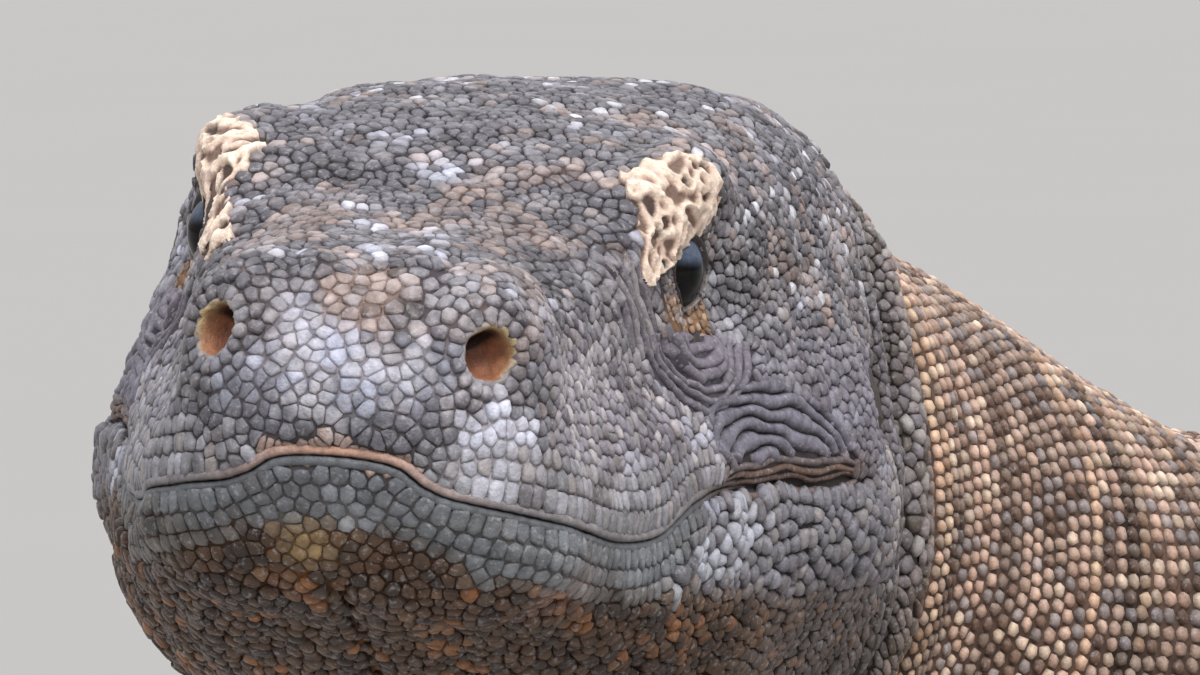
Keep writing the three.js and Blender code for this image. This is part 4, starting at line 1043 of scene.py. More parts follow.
# ================================================================ scale sizes
def head_pattern(w, n):
    """For points on the head: half sizes a (along) and b (across) of a scale, its height as a share of them, its lie and its kind."""
    p = head_local(w)
    x, d, z = p[:, 0] - lean_at(np.clip(p[:, 1], 0, 300)), p[:, 1], p[:, 2]
    side = np.sign(x) + (x == 0)
    xs = np.abs(x)
    size = np.full(len(w), 3.15)
    aspect = np.ones(len(w))
    high = np.full(len(w), 0.21)
    power = np.full(len(w), 13.0)
    lie = np.tile(H_B, (len(w), 1))          # along the head

    def mix(arr, value, m):
        arr += (value - arr) * m
    up = ramp(z, 22, 34)
    snout = up * ramp(-d, -74, -40)
    mix(size, 3.1, snout)
    nose = ramp(-d, -26, -8) * ramp(z, -2, 8)
    mix(size, 3.25, nose)
    crown = ramp(z, 48, 58) * ramp(d, 96, 112)
    mix(size, 2.95, crown)
    mix(size, 3.3, ramp(d, 168, 196) * up)
    mix(size, 3.6, ramp(d, 206, 226))
    mix(high, 0.30, ramp(d, 206, 226))
    # side of the snout: leaning rows of long scales
    lore = ramp(d, 24, 38) * ramp(-d, -104, -88) * ramp(-z, -36, -26) * ramp(z, 2, 8)
    mix(size, 2.8, lore)
    mix(aspect, 1.35, lore)
    # temple beads
    temple = ramp(d, 116, 132) * ramp(z, 22, 32) * ramp(-z, -66, -56)
    mix(size, 2.85, temple)
    # cheek folds: long fine scales along the arcs
    ph, st = cheek_arcs(xs, d, z)
    cheek = st
    mix(size, 2.3, cheek)
    mix(aspect, 1.9, cheek)
    mix(high, 0.14, cheek)
    ph, st2 = eye_arcs(xs, d, z)
    mix(size, 2.0, st2)
    mix(aspect, 1.7, st2)
    # jowl beads
    jowl = np.maximum(ramp(d, 104, 122) * ramp(-d, -200, -184) * ramp(-z, -1, 3) * ramp(z, -26, -18), bead_band(xs, d, z))
    mix(size, 3.9, jowl)
    mix(aspect, 1.0, jowl)
    sweep = ramp(d, 140, 158) * ramp(-z, 16, 24) * ramp(xs, 16, 30)
    mix(size, 3.3, sweep)
    mix(aspect, 2.0, sweep)
    # chin and throat
    chin = ramp(-z, 6, 12) * ramp(-d, -90, -60)
    mix(size, 3.05, chin)
    throat = ramp(-z, 19, 27) * (1 - sweep)
    mix(size, 3.5, throat)
    mix(aspect, 1.18, throat)
    mix(size, 2.5, np.exp(-((d - 200) / 14) ** 2 - ((z - 20) / 16) ** 2) * (xs > 50))
    mix(high, 0.13, chin * 0.8)
    mix(high, 0.16, snout)
    mix(high, 0.36, jowl)
    mix(high, 0.30, temple)
    mix(high, 0.27, throat)
    mix(high, 0.14, nose)
    mix(power, 8.0, temple)
    mix(power, 8.0, jowl)
    bare = brow_field(p)
    mix(size, 2.5, bare)
    mix(high, 0.42, bare)
    mix(power, 6.0, bare)
    # the lie: along fold lines where there are folds
    e = 0.5
    head_axes = np.stack([H_L, H_B, H_U])

    def along_lines(field):
        def f(dd, zz):
            return field(xs, dd, zz)[0]
        gd = (f(d + e, z) - f(d - e, z))
        gz = (f(d, z + e) - f(d, z - e))
        return unit(np.stack([0 * gd, gz, -gd], 1)) @ head_axes      # across the gradient, in (d, z)
    m = cheek > 0.3
    lie[m] = along_lines(cheek_arcs)[m]
    m = st2 > 0.3
    lie[m] = along_lines(eye_arcs)[m]
    m = lore > 0.5
    lie[m] = unit(np.stack([0 * d, 0 * d + 0.55, 0 * d - 0.83], 1) @ head_axes)[m]
    m = sweep > 0.4
    lie[m] = unit(np.stack([0 * d, 0.62 + 0.012 * (-z), -1 + 0 * d], 1) @ head_axes)[m]
    # a ring of scales round each nostril
    nose_d = np.full(len(w), 1e3)
    for s_ in (1, -1):
        a, across, upn = nose_basis(s_)
        r = p - nose_centre[s_]
        e_ = np.linalg.norm(r - (r @ a)[:, None] * a, axis=1)
        e_[np.abs(r @ a) > 14] = 1e3
        m = (e_ < nose_d)
        nose_d = np.where(m, e_, nose_d)
    mix(size, 2.9, ramp(-nose_d, -13, -8))
    # small scales round the eyes
    eye_d = np.full(len(w), 1e3)
    for s_ in (1, -1):
        r = p - EYE_AT * [s_, 1, 1] - eye_basis(s_)[0] * 9
        eye_d = np.minimum(eye_d, np.linalg.norm(r, axis=1))
    near_eye = ramp(-eye_d, -17, -10)
    mix(size, 1.9, near_eye)
    size *= 1 + 0.17 * wobble(w, 6, 2)
    lie = unit(lie - n * dots(lie, n)[:, None])
    a, b = size * np.sqrt(aspect), size / np.sqrt(aspect)
    kind = dict(d=d, z=z, xs=xs, x=x, nose=nose_d, eye=eye_d, cheek=cheek, jowl=jowl, chin=chin, throat=throat, sweep=sweep, temple=temple,
                lore=lore, crown=crown, snout=snout, under=st2, power=power, bare=bare)
    return a, b, high, lie, kind


# the bare wrinkled brow: a drop along these points (half width, distance, height, radius), from before the eye up over it
BROW = [(43.0, 85.0, 41.0, 4.0), (42.4, 96.0, 51.0, 9.6), (46.2, 108.5, 55.8, 7.8)]
BROW_RIGHT = [(36.0, 66.0, 36.5, 3.6), (42.0, 84.0, 43.5, 5.0)]      # on the right it reaches further forward


def brow_field(p):
    """Share of the bare brow skin, 1 inside and 0 outside, of points (head frame); irregular edge."""
    q = np.stack([np.abs(p[:, 0]), p[:, 1], p[:, 2]], 1)
    best = np.full(len(q), 9.0)
    for line, only in ((BROW, 0), (BROW_RIGHT, -1)):
        for a, b in zip(line[:-1], line[1:]):
            a, b = np.array(a), np.array(b)
            t = np.clip((q - a[:3]) @ (b - a)[:3] / ((b - a)[:3] @ (b - a)[:3]), 0, 1)
            e = np.linalg.norm(q - a[:3] - t[:, None] * (b - a)[:3], axis=1) / (a[3] + (b[3] - a[3]) * t)
            best = np.minimum(best, np.where((p[:, 0] * only >= 0), e, 9.0))
    best += 0.07 * wobble(q + 40, 5, 2)
    return ramp(-best, -1.13, -0.93)


def bead_band(xs, d, z):
    """The band of pale beads from the lower lip up towards the corner of the mouth."""
    a, b = np.array([82.0, -24.0]), np.array([120.0, -6.0])
    q = np.stack([d, z], 1)
    t = np.clip((q - a) @ (b - a) / ((b - a) @ (b - a)), 0, 1)
    return ramp(-np.linalg.norm(q - a - t[:, None] * (b - a), axis=1), -9.5, -5.5) * (xs > 30)


def folded(w):
    """Places on the head where long folds stand in for single scales."""
    p = head_local(w)
    xs, d, z = np.abs(p[:, 0] - lean_at(np.clip(p[:, 1], 0, 300))), p[:, 1], p[:, 2]
    out = (cheek_arcs(xs, d, z)[1] > 0.5) | (eye_arcs(xs, d, z)[1] > 0.5)
    v = (d + 0.36 * z - 81.9) / 3.1
    out |= (v > 0.1) & (v < 4.9) & (z > 24.5) & (z < 41) & (xs > 26) & (p[:, 0] > 0)
    return out | ((z > rictus(d) - 1.7) & (z < rictus(d) + 5.4) & (d > 106) & (d < 166) & (xs > 30))


def keep_out(w, margin=0.0):
    """Places on the head where no scale stands: nostrils, eyes and eardrums."""
    p = head_local(w)
    out = np.zeros(len(w), bool)
    for side in (1, -1):
        a, back, up = eye_basis(side)
        r = p - EYE_AT * [side, 1, 1]
        rho = np.linalg.norm(r, axis=1)
        th = np.degrees(np.arccos(np.clip(dots(r, a) / np.maximum(rho, 1e-6), -1, 1)))
        phi = np.arctan2(r @ up, r @ back)
        out |= (th < eye_opening(phi) + 24 + margin) & (rho < 22)
        a, across, upn = nose_basis(side)
        r = p - nose_centre[side]
        e = np.sqrt((r @ across / 5.2) ** 2 + (r @ upn / 5.4) ** 2)
        out |= (e < 1.16 + margin / 6) & (np.abs(r @ a) < 16) & (p[:, 1] < 36)
        r = p - EAR_AT * [side, 1, 1] - [4.6 * side + float(lean_at(200)), 0, 0]
        out |= (np.sqrt((r[:, 1] / 6.6) ** 2 + (r[:, 2] / 9.4) ** 2) < 1.02) & (np.sign(p[:, 0]) == side)
    return out


# ============================================================ placing scales
class Scales:
    """All scales: place, normal, lie, half sizes, height share and group."""

    def __init__(self):
        self.rows = {k: [] for k in ("p", "n", "lie", "a", "b", "high", "group", "tag", "round")}

    def add(self, p, n, lie, a, b, high, group, tag=0, round_=12.0):
        k = len(p)
        for key, value in (("p", p), ("n", n), ("lie", unit(lie - n * dots(lie, n)[:, None])), ("a", a), ("b", b), ("high", high), ("group", group), ("tag", tag), ("round", round_)):
            value = np.asarray(value, float)
            self.rows[key].append(np.broadcast_to(value, (k,) + value.shape[1:] if value.ndim > 1 else (k,)).copy())

    def all(self):
        return {k: np.concatenate(v) for k, v in self.rows.items()}


def tree_of(points):
    tree = kdtree.KDTree(len(points))
    for k, p in enumerate(points.tolist()):
        tree.insert(p, k)
    tree.balance()
    return tree


def samples_on(faces, density, over):
    """Random points on some triangles of the skin, over times as many as density (per mm2) wants."""
    a, b, c = skin_v[skin_t[faces, 0]], skin_v[skin_t[faces, 1]], skin_v[skin_t[faces, 2]]
    area = np.linalg.norm(np.cross(b - a, c - a), axis=1) / 2
    want = area * density * over
    count = np.floor(want + rng.uniform(0, 1, len(want))).astype(int)
    k = np.repeat(np.arange(len(faces)), count)
    r1, r2 = np.sqrt(rng.uniform(0, 1, len(k))), rng.uniform(0, 1, len(k))
    bary = np.stack([1 - r1, r1 * (1 - r2), r1 * r2], 1)
    tri = skin_t[faces[k]]
    p = (skin_v[tri] * bary[..., None]).sum(1)
    n = unit((normals[tri] * bary[..., None]).sum(1))
    return p, n


def scatter(p, n, a, b, lie, fixed_p=None, fixed_r=None, tight=0.80, rounds=3, blocked=None):
    """Picks points no closer than their scale sizes allow, then evens them out. Returns indices' points and normals."""
    tree = tree_of(p)
    dead = np.zeros(len(p), bool)
    if fixed_p is not None:
        for q, r in zip(fixed_p.tolist(), fixed_r.tolist()):
            for _, k, _ in tree.find_range(q, r):
                dead[k] = True
    order = rng.permutation(len(p))
    other = np.cross(n, lie)
    taken = []
    isotropic = np.abs(a - b) < 0.15
    for k in order.tolist():
        if dead[k]:
            continue
        taken.append(k)
        if isotropic[k]:
            for _, j, _ in tree.find_range(p[k].tolist(), a[k] * tight):
                dead[j] = True
        else:
            got = [j for _, j, _ in tree.find_range(p[k].tolist(), a[k] * tight)]
            v = p[got] - p[k]
            e = (v @ lie[k] / a[k]) ** 2 + (v @ other[k] / b[k]) ** 2
            for j, x in zip(got, e.tolist()):
                if x < tight * tight:
                    dead[j] = True
    seeds = np.array(taken)
    pos, nor = p[seeds].copy(), n[seeds].copy()
    la, lb, ll, lo = a[seeds], b[seeds], lie[seeds], other[seeds]
    nf = 0
    if fixed_p is not None and len(fixed_p):
        nf = len(fixed_p)
    for _ in range(rounds):
        full = np.concatenate([pos, fixed_p]) if nf else pos
        t2 = tree_of(full)
        find = t2.find_n
        got = [[x[1] for x in find(q, 3)] for q in p.tolist()]
        got = np.array([g + [g[-1]] * (3 - len(g)) for g in got])
        A = np.concatenate([la, np.full(nf, la.mean())]) if nf else la
        B = np.concatenate([lb, np.full(nf, lb.mean())]) if nf else lb
        D1 = np.concatenate([ll, np.zeros((nf, 3))]) if nf else ll
        D2 = np.concatenate([lo, np.zeros((nf, 3))]) if nf else lo
        best = np.full(len(p), 1e9)
        own = np.zeros(len(p), int)
        for c in range(3):
            j = got[:, c]
            v = p - full[j]
            e = (dots(v, D1[j]) / A[j]) ** 2 + (dots(v, D2[j]) / B[j]) ** 2
            if nf:
                e = np.where(j >= len(pos), dots(v, v) / (A[j] * B[j]), e)
            better = e < best
            best[better] = e[better]
            own[better] = j[better]
        m = own < len(pos)
        cnt = np.bincount(own[m], minlength=len(pos)).astype(float)
        mean = np.stack([np.bincount(own[m], p[m, k], len(pos)) for k in range(3)], 1)
        good = cnt > 0
        pos[good] = mean[good] / cnt[good, None]
    loc, nor, _, _ = on_skin(pos)
    return loc, nor, seeds


scales = Scales()
GROUP_BODY, GROUP_LIMB = 0, 1

# ---- rows along the lips
mouth_n = mouth_out
w_ = np.exp(-(head_local(mouth)[:, :1] / 11) ** 2)
mouth_n = unit(mouth_n * (1 - w_) + unit(-H_B + 0.1 * H_U)[None] * w_)
mt = unit(np.gradient(mouth, axis=0))
mouth_n = unit(mouth_n - mt * dots(mouth_n, mt)[:, None])
k_ = np.ones(37) / 37
mouth_n = unit(np.stack([np.convolve(np.pad(mouth_n[:, a], 18, mode="edge"), k_, "valid") for a in range(3)], 1))
mouth_up = np.cross(mouth_n, mt)
if dots(mouth_up, H_U[None]).mean() < 0:
    mouth_up = -mouth_up
mouth_len = np.r_[0, np.cumsum(np.linalg.norm(np.diff(mouth, axis=0), axis=1))]
mouth_d = head_local(mouth)[:, 1]


def walk_from_mouth(sign, distance, step=0.7):
    """Places that far from the mouth line over the skin, above (1) or below (-1), every so often along it."""
    c = mouth[::2].copy()
    way = mouth_up[::2] * sign
    along = mt[::2]
    gone = 0.0
    n = on_skin(c)[1]
    while gone < distance - 1e-6:
        go = min(step, distance - gone)
        way = unit(way - n * dots(way, n)[:, None] - along * dots(way, along)[:, None] * 0.5)
        c, n, _, _ = on_skin(c + way * go)
        gone += go
    k = 2 * int(distance / 1.6) + 1
    if k > 1:
        c = np.stack([np.convolve(np.pad(c[:, a], k // 2, mode="edge"), np.ones(k) / k, "valid") for a in range(3)], 1)
    return c


def lip_row(offset, pitch, tall, shift, high, until, tag):
    """One row of lip scales at a distance above (+) or below the mouth line."""
    loc = walk_from_mouth(1 if offset > 0 else -1, abs(offset))
    d0 = mouth_d[::2]
    row_len = np.r_[0, np.cumsum(np.linalg.norm(np.diff(loc, axis=0), axis=1))]
    # pitch is given at the front and at the side
    d_of = np.interp(np.arange(0, row_len[-1], 0.5), row_len, d0)
    every = pitch[0] + (pitch[1] - pitch[0]) * ramp(d_of, 12, 66)
    number = np.r_[0, np.cumsum(0.5 / every)][:-1]
    at = np.interp(np.arange(shift, number[-1]), number, np.arange(0, row_len[-1], 0.5))
    wide = np.interp(at, np.arange(0, row_len[-1], 0.5), every)
    at = at + rng.uniform(-0.12, 0.12, len(at)) * wide
    x = np.stack([np.interp(at, row_len, loc[:, a]) for a in range(3)], 1)
    tangent = unit(np.gradient(loc, axis=0) + 1e-9)
    lie = np.stack([np.interp(at, row_len, tangent[:, a]) for a in range(3)], 1)
    d = np.interp(at, row_len, d0)
    x, n, _, _ = on_skin(x)
    ok = (d < until) & ~keep_out(x) & ~folded(x)
    scales.add(x[ok], n[ok], lie[ok], wide[ok], tall, high, GROUP_BODY, tag, 11.0)


for r, (off, pitch, tall) in enumerate(((3.3, (3.5, 2.4), 3.9), (7.2, (3.4, 2.5), 4.0), (11.0, (3.3, 2.7), 3.8))):
    lip_row(off, pitch, tall, 0.5 * (r % 2) + 0.13, 0.17, (104, 100, 92)[r], 1)
for r, (off, pitch, tall) in enumerate(((-3.2, (3.6, 3.0), 3.7), (-6.9, (3.6, 3.1), 3.8), (-10.7, (3.7, 3.3), 3.9))):
    lip_row(off, pitch, tall, 0.5 * (r % 2) + 0.2, 0.13, (94, 84, 74)[r], 2)
told("lip rows")

# ---- a ring of rounded scales about each nostril
for side in (1, -1):
    a_, across_, up_ = nose_basis(side)
    for share, count, big, turn0 in ((1.36, 16, 2.75, 0.0), (1.86, 19, 3.3, 0.4)):
        angle_ = (np.arange(count) + turn0 + rng.uniform(-0.15, 0.15, count)) / count * 2 * np.pi
        spots = nose_centre[side] + across_ * (np.cos(angle_) * 5.3 * share)[:, None] + up_ * (np.sin(angle_) * 5.5 * share)[:, None]
        x, n = [], []
        for q in head_world(spots + a_ * 18).tolist():
            hit = skin_tree.ray_cast(q, (-(a_ @ np.stack([H_L, H_B, H_U]))).tolist(), 40)
            x.append(list(hit[0]) if hit[0] is not None else [np.nan] * 3)
        x = np.array(x)
        x = x[~np.isnan(x[:, 0])]
        far = mouth_distance(x)[0] > 16
        x, n, _, _ = on_skin(x[far])
        scales.add(x, n, np.tile(H_B, (len(x), 1)), big, big, 0.30, GROUP_BODY, 8, 8.0)

# ---- rows along the folds behind the jaw
def fold_row(d, z, width, pitch, high, tag, ok=None):
    """Scales side by side along a line (d, z) on both sides of the head, each as long as the fold is wide."""
    for side in (1, -1):
        start = head_world(np.stack([np.full(len(d), 130.0 * side), d, z], 1))
        x, n = [], []
        way = (-H_L * side).tolist()
        for q in start.tolist():
            hit = skin_tree.ray_cast(q, way, 128)
            x.append(hit[0] if hit[0] is not None else (np.nan,) * 3)
        x = np.array([list(q) for q in x])
        good = ~np.isnan(x[:, 0])
        if ok is not None:
            good &= ok
        # the longest unbroken stretches only
        idx = np.where(good)[0]
        if len(idx) < 4:
            continue
        for run in np.split(idx, np.where(np.diff(idx) > 1)[0] + 1):
            if len(run) < 4:
                continue
            line = x[run]
            cum = np.r_[0, np.cumsum(np.linalg.norm(np.diff(line, axis=0), axis=1))]
            if cum[-1] < pitch * 2:
                continue
            at = np.arange(rng.uniform(0.2, 0.8) * pitch, cum[-1], pitch)
            at = at + rng.uniform(-0.16, 0.16, len(at)) * pitch
            q = np.stack([np.interp(at, cum, line[:, a]) for a in range(3)], 1)
            tangent = np.gradient(line, axis=0)
            lie = np.stack([np.interp(at, cum, tangent[:, a]) for a in range(3)], 1)
            q, nn, _, _ = on_skin(q)
            scales.add(q, nn, lie, pitch, width * (0.9 + 0.1 * np.minimum(1, np.arange(len(q)) / 3)), high, GROUP_BODY, tag, 9.0)


z3 = np.arange(-19.0, -62.0, -0.8)
for k in range(20, 60):
    # lines of equal bend = 3.3 k, as the folds run
    d3 = 3.3 * k + 0.6 * (z3 + 10) - 0.006 * (z3 + 10) ** 2
    fold_row(d3, z3, 3.1, 3.2, 0.26, 6, (d3 > 146) & (d3 < 214))
told("fold rows")

# ---- the head
centre_f = skin_v[skin_t].mean(1)
head_f = np.where(centre_f[:, 1] < head_world([0, 292, 0])[0, 1] + 80)[0]
hs, hu = place_fine(centre_f[head_f])
hp = head_local(centre_f[head_f])
sel = hs < 263
head_f = head_f[sel]
fn = unit(np.cross(skin_v[skin_t[head_f, 1]] - skin_v[skin_t[head_f, 0]], skin_v[skin_t[head_f, 2]] - skin_v[skin_t[head_f, 0]]))
fa, fb, *_ = head_pattern(centre_f[head_f], fn)
p, n = samples_on(head_f, 1 / (fa * fb * 0.9), 7)
md, mi = mouth_distance(p)
limit = np.where(mouth_d[mi] > 112, 1.3, 2.3)
ok = ~keep_out(p) & (md > limit) & ~folded(p)
p, n = p[ok], n[ok]
a, b, high, lie, kind = head_pattern(p, n)
fixed = scales.all()
fix_p = fixed["p"]
fix_r = np.select([fixed["tag"] == 1, fixed["tag"] == 2, fixed["tag"] == 4, fixed["tag"] == 5, fixed["tag"] == 8], [2.7, 2.9, 2.2, 1.7, 2.3], 2.5)
loc, nor, seeds = scatter(p, n, a, b, lie, fix_p, fix_r, tight=0.70, rounds=2)
ok = ~keep_out(loc) & ~folded(loc)
ok &= brow_field(head_local(loc)) < 0.45
loc, nor = loc[ok], nor[ok]
a, b, high, lie, kind = head_pattern(loc, nor)
scales.add(loc, nor, lie, a, b, high, GROUP_BODY, 0, kind["power"])
told(f"head scales {len(loc)}")


# ---- small granules on the eyelids come with the lids, further on

# ---- neck, trunk and tail: rows across the body
def body_rows_of_scales():
    s = 265.0
    found = []
    row = 0
    fine_u = np.arange(720) / 720
    while s < 2556:
        along = np.interp(s, [226, 262, 330, 420, 560, 900, 1250, 1500, 1900, 2300, 2560], [3.4, 4.3, 5.3, 5.8, 6.4, 7.0, 6.8, 6.6, 5.6, 4.3, 3.4])
        w = surface(np.full(720, s), fine_u, fine=False)[1]
        a = 360 * np.minimum(fine_u, 1 - fine_u)
        belly = ramp(a, 118, 142)
        back = 1 - ramp(a, 24, 60)
        across = np.interp(s, [226, 262, 330, 420, 600, 1250, 1500, 1900, 2300, 2560], [3.2, 3.3, 3.6, 4.3, 5.6, 6.2, 5.8, 5.0, 3.9, 3.0])
        across = across * (1 + 0.22 * belly - 0.10 * back)
        step = np.linalg.norm(np.roll(w, -1, 0) - w, axis=1) / across
        cum = np.r_[0, np.cumsum(step)]
        count = int(round(cum[-1]))
        at = (np.arange(count) + 0.5 * (row % 2) + 0.25) / count * cum[-1]
        u = np.interp(at, cum, np.r_[fine_u, 1.0]) % 1
        jitter = 0.10
        su = np.full(count, s) + rng.uniform(-jitter, jitter, count) * along
        wave = 0.9 * np.sin(6 * np.pi * u + s / 90) * min(1, along / 5)
        found.append(np.stack([su + wave, (u + rng.uniform(-jitter, jitter, count) / count) % 1, np.full(count, along), np.interp(u, fine_u, across), np.full(count, row)], 1))
        s += along * 0.93
        row += 1
    return np.concatenate(found)


rows = body_rows_of_scales()
s, u, al, ac, row_no = rows.T
w = surface(s, u)[1]
w[:, 2] = np.maximum(w[:, 2], 1.2)
loc, nor, dist, _ = on_skin(w)
hl = head_local(loc)
ok = (dist < 7.0)
back_dir = spine_frame(s)[2]
s, u, al, ac, row_no, loc, nor, back_dir = s[ok], u[ok], al[ok], ac[ok], row_no[ok], loc[ok], nor[ok], back_dir[ok]
belly = ramp(360 * np.minimum(u, 1 - u), 118, 142)
high = 0.27 - 0.09 * belly - 0.05 * ramp(s, 1500, 2300)
scales.add(loc, nor, back_dir, al, ac, high, GROUP_BODY, 1000 + row_no, 9.0)
told(f"body rows {len(loc)}")

# ---- legs and feet
face_limb = on_limb[skin_t].any(1) & (centre_f[:, 1] > -880)
limb_f = np.where(face_limb)[0]


def limb_size(w):
    z = w[:, 2]
    size = np.interp(z, [0, 14, 30, 70, 150, 230, 300], [3.6, 3.5, 3.9, 4.9, 5.6, 5.9, 6.0])
    return size * (1 + 0.05 * wobble(w, 20, 1))


ls = limb_size(centre_f[limb_f])
p, n = samples_on(limb_f, 1 / (ls * ls * 0.9), 6)
size = limb_size(p)
lie = np.tile([0.0, 0.0, -1.0], (len(p), 1)) + 0.001
lie = unit(lie - n * dots(lie, n)[:, None])
fixed = scales.all()
near_legs = (fixed["p"][:, 1] > -880) & (fixed["p"][:, 1] < 80)
fix_p = fixed["p"][near_legs]
loc, nor, seeds = scatter(p, n, size, size, lie, fix_p, np.full(len(fix_p), 3.4), tight=0.72, rounds=3)
ls = limb_size(loc)
lie = np.tile([0.0, 0.0, -1.0], (len(loc), 1)) + 0.001
flat = 1 - ramp(loc[:, 2], 1.5, 5)
scales.add(loc, nor, lie, ls, ls, 0.27 - 0.17 * flat, GROUP_LIMB, 0, 10.0)
told(f"limb scales {len(loc)}")


# ===================================================================== eyelids
def lid_collar(side):
    """The lids as one fold of skin round the eye, from the opening down into the skin."""
    axis, back, up = eye_basis(side)
    centre = EYE_AT * [side, 1, 1]
    rings_, around = 26, 120
    phi = np.linspace(0, 2 * np.pi, around, endpoint=False)
    lim = eye_opening(phi)
    outer = lim + 27
    W = head_world(centre)[0]
    axes = np.stack([H_L, H_B, H_U])

    def ray(th, ph):
        v = axis * np.cos(th)[:, None] + (back * np.cos(ph)[:, None] + up * np.sin(ph)[:, None]) * np.sin(th)[:, None]
        return v
    dirs = ray(np.radians(outer), phi)
    reach = np.empty(around)
    for k, v in enumerate((dirs @ axes).tolist()):
        hit = skin_tree.ray_cast((W + np.array(v) * 40).tolist(), (-np.array(v)).tolist())
        reach[k] = np.linalg.norm(np.array(hit[0]) - W) if hit[0] is not None else EYE_RADIUS + 3
    reach = np.clip(reach, EYE_RADIUS + 0.2, EYE_RADIUS + 9)
    k5 = np.ones(9) / 9
    reach = np.convolve(np.r_[reach[-4:], reach, reach[:4]], k5, "valid")
    t = np.linspace(0, 1, rings_)
    v = []
    for ti in t:
        th = lim + (outer - lim) * ti
        # crest just outside the opening, then down to the skin
        base = EYE_RADIUS + 0.10 + (reach - 0.9 - EYE_RADIUS) * ramp(ti, 0.12, 0.95)
        crest = 0.95 * math.exp(-((ti - 0.12) / 0.08) ** 2) + 0.5 * math.exp(-((ti - 0.42) / 0.08) ** 2) + 0.3 * math.exp(-((ti - 0.63) / 0.07) ** 2)
        upper = 0.5 + 0.5 * np.sin(phi)
        r = base + crest * (0.8 + 0.5 * upper)
        r = r + 0.12 * np.sin(phi * 23 + 9 * ti) * ramp(ti, 0.1, 0.3) + 0.10 * np.sin(phi * 41 + 31 * ti) * ramp(ti, 0.1, 0.3)
        if ti == 0:
            r = r * 0 + EYE_RADIUS - 0.25
        v.append(centre + ray(np.radians(th), phi) * r[:, None])
    v = np.concatenate(v)
    f = grid_faces(rings_, around)
    w = head_world(v)
    fn_ = np.cross(w[f[:, 1]] - w[f[:, 0]], w[f[:, 2]] - w[f[:, 0]])
    if dots(fn_, w[f[:, 0]] - W).sum() < 0:
        f = f[:, ::-1]
    return w, f, np.repeat(t, around), np.tile(phi, rings_)


lids = {}
for side in (1, -1):
    lids[side] = lid_collar(side)
    w, f, t, phi = lids[side]
    ln = vertex_normals(w, f)
    grid_w, grid_n = w.reshape(26, 120, 3), ln.reshape(26, 120, 3)
    for row, (ti, pitch) in enumerate(((0.25, 1.3), (0.38, 1.4), (0.51, 1.55), (0.65, 1.7), (0.80, 1.9), (0.96, 2.1))):
        k = ti * 25
        i = int(k)
        c = grid_w[i] * (1 - (k - i)) + grid_w[i + 1] * (k - i)
        cn = unit(grid_n[i] * (1 - (k - i)) + grid_n[i + 1] * (k - i))
        loop = np.vstack([c, c[:1]])
        cum = np.r_[0, np.cumsum(np.linalg.norm(np.diff(loop, axis=0), axis=1))]
        count = int(cum[-1] / pitch)
        at = ((np.arange(count) + 0.5 * (row % 2) + rng.uniform(-0.3, 0.3, count)) % count) / count * cum[-1]
        x = np.stack([np.interp(at, cum, loop[:, a]) for a in range(3)], 1)
        nn = unit(np.stack([np.interp(at, cum, np.r_[cn[:, a], cn[:1, a]]) for a in range(3)], 1))
        lie = unit(np.stack([np.interp(at, cum, np.r_[np.gradient(c[:, a]), np.gradient(c[:, a])[:1]]) for a in range(3)], 1))
        hp = head_local(x)
        ok = brow_field(hp) < 0.3
        x = x + rng.uniform(-0.22, 0.22, x.shape)
        scales.add(x[ok], nn[ok], lie[ok], pitch, 1.5, 0.18, GROUP_BODY, 3, 7.0)
told("lids")


# ================================================================ colours
def noise_pick(n_, shares, r):
    """An index for each column of shares (k, n), with random numbers r. n_ is not used."""
    c = np.cumsum(shares, 0)
    return (r * c[-1] > c).sum(0)


COLLAR_FOLDS = ((214, 2.4), (224, 3.3), (237, 2.3), (250, 2.9), (267, 1.6), (286, 1.0))


def collar_wave(a):
    """How far the folds of the collar stray, round the body (degrees from the back line)."""
    return 2.2 * np.sin(a / 13) + 3 * wobble(np.stack([a, 0 * a + 3, 0 * a], 1), 30, 1)


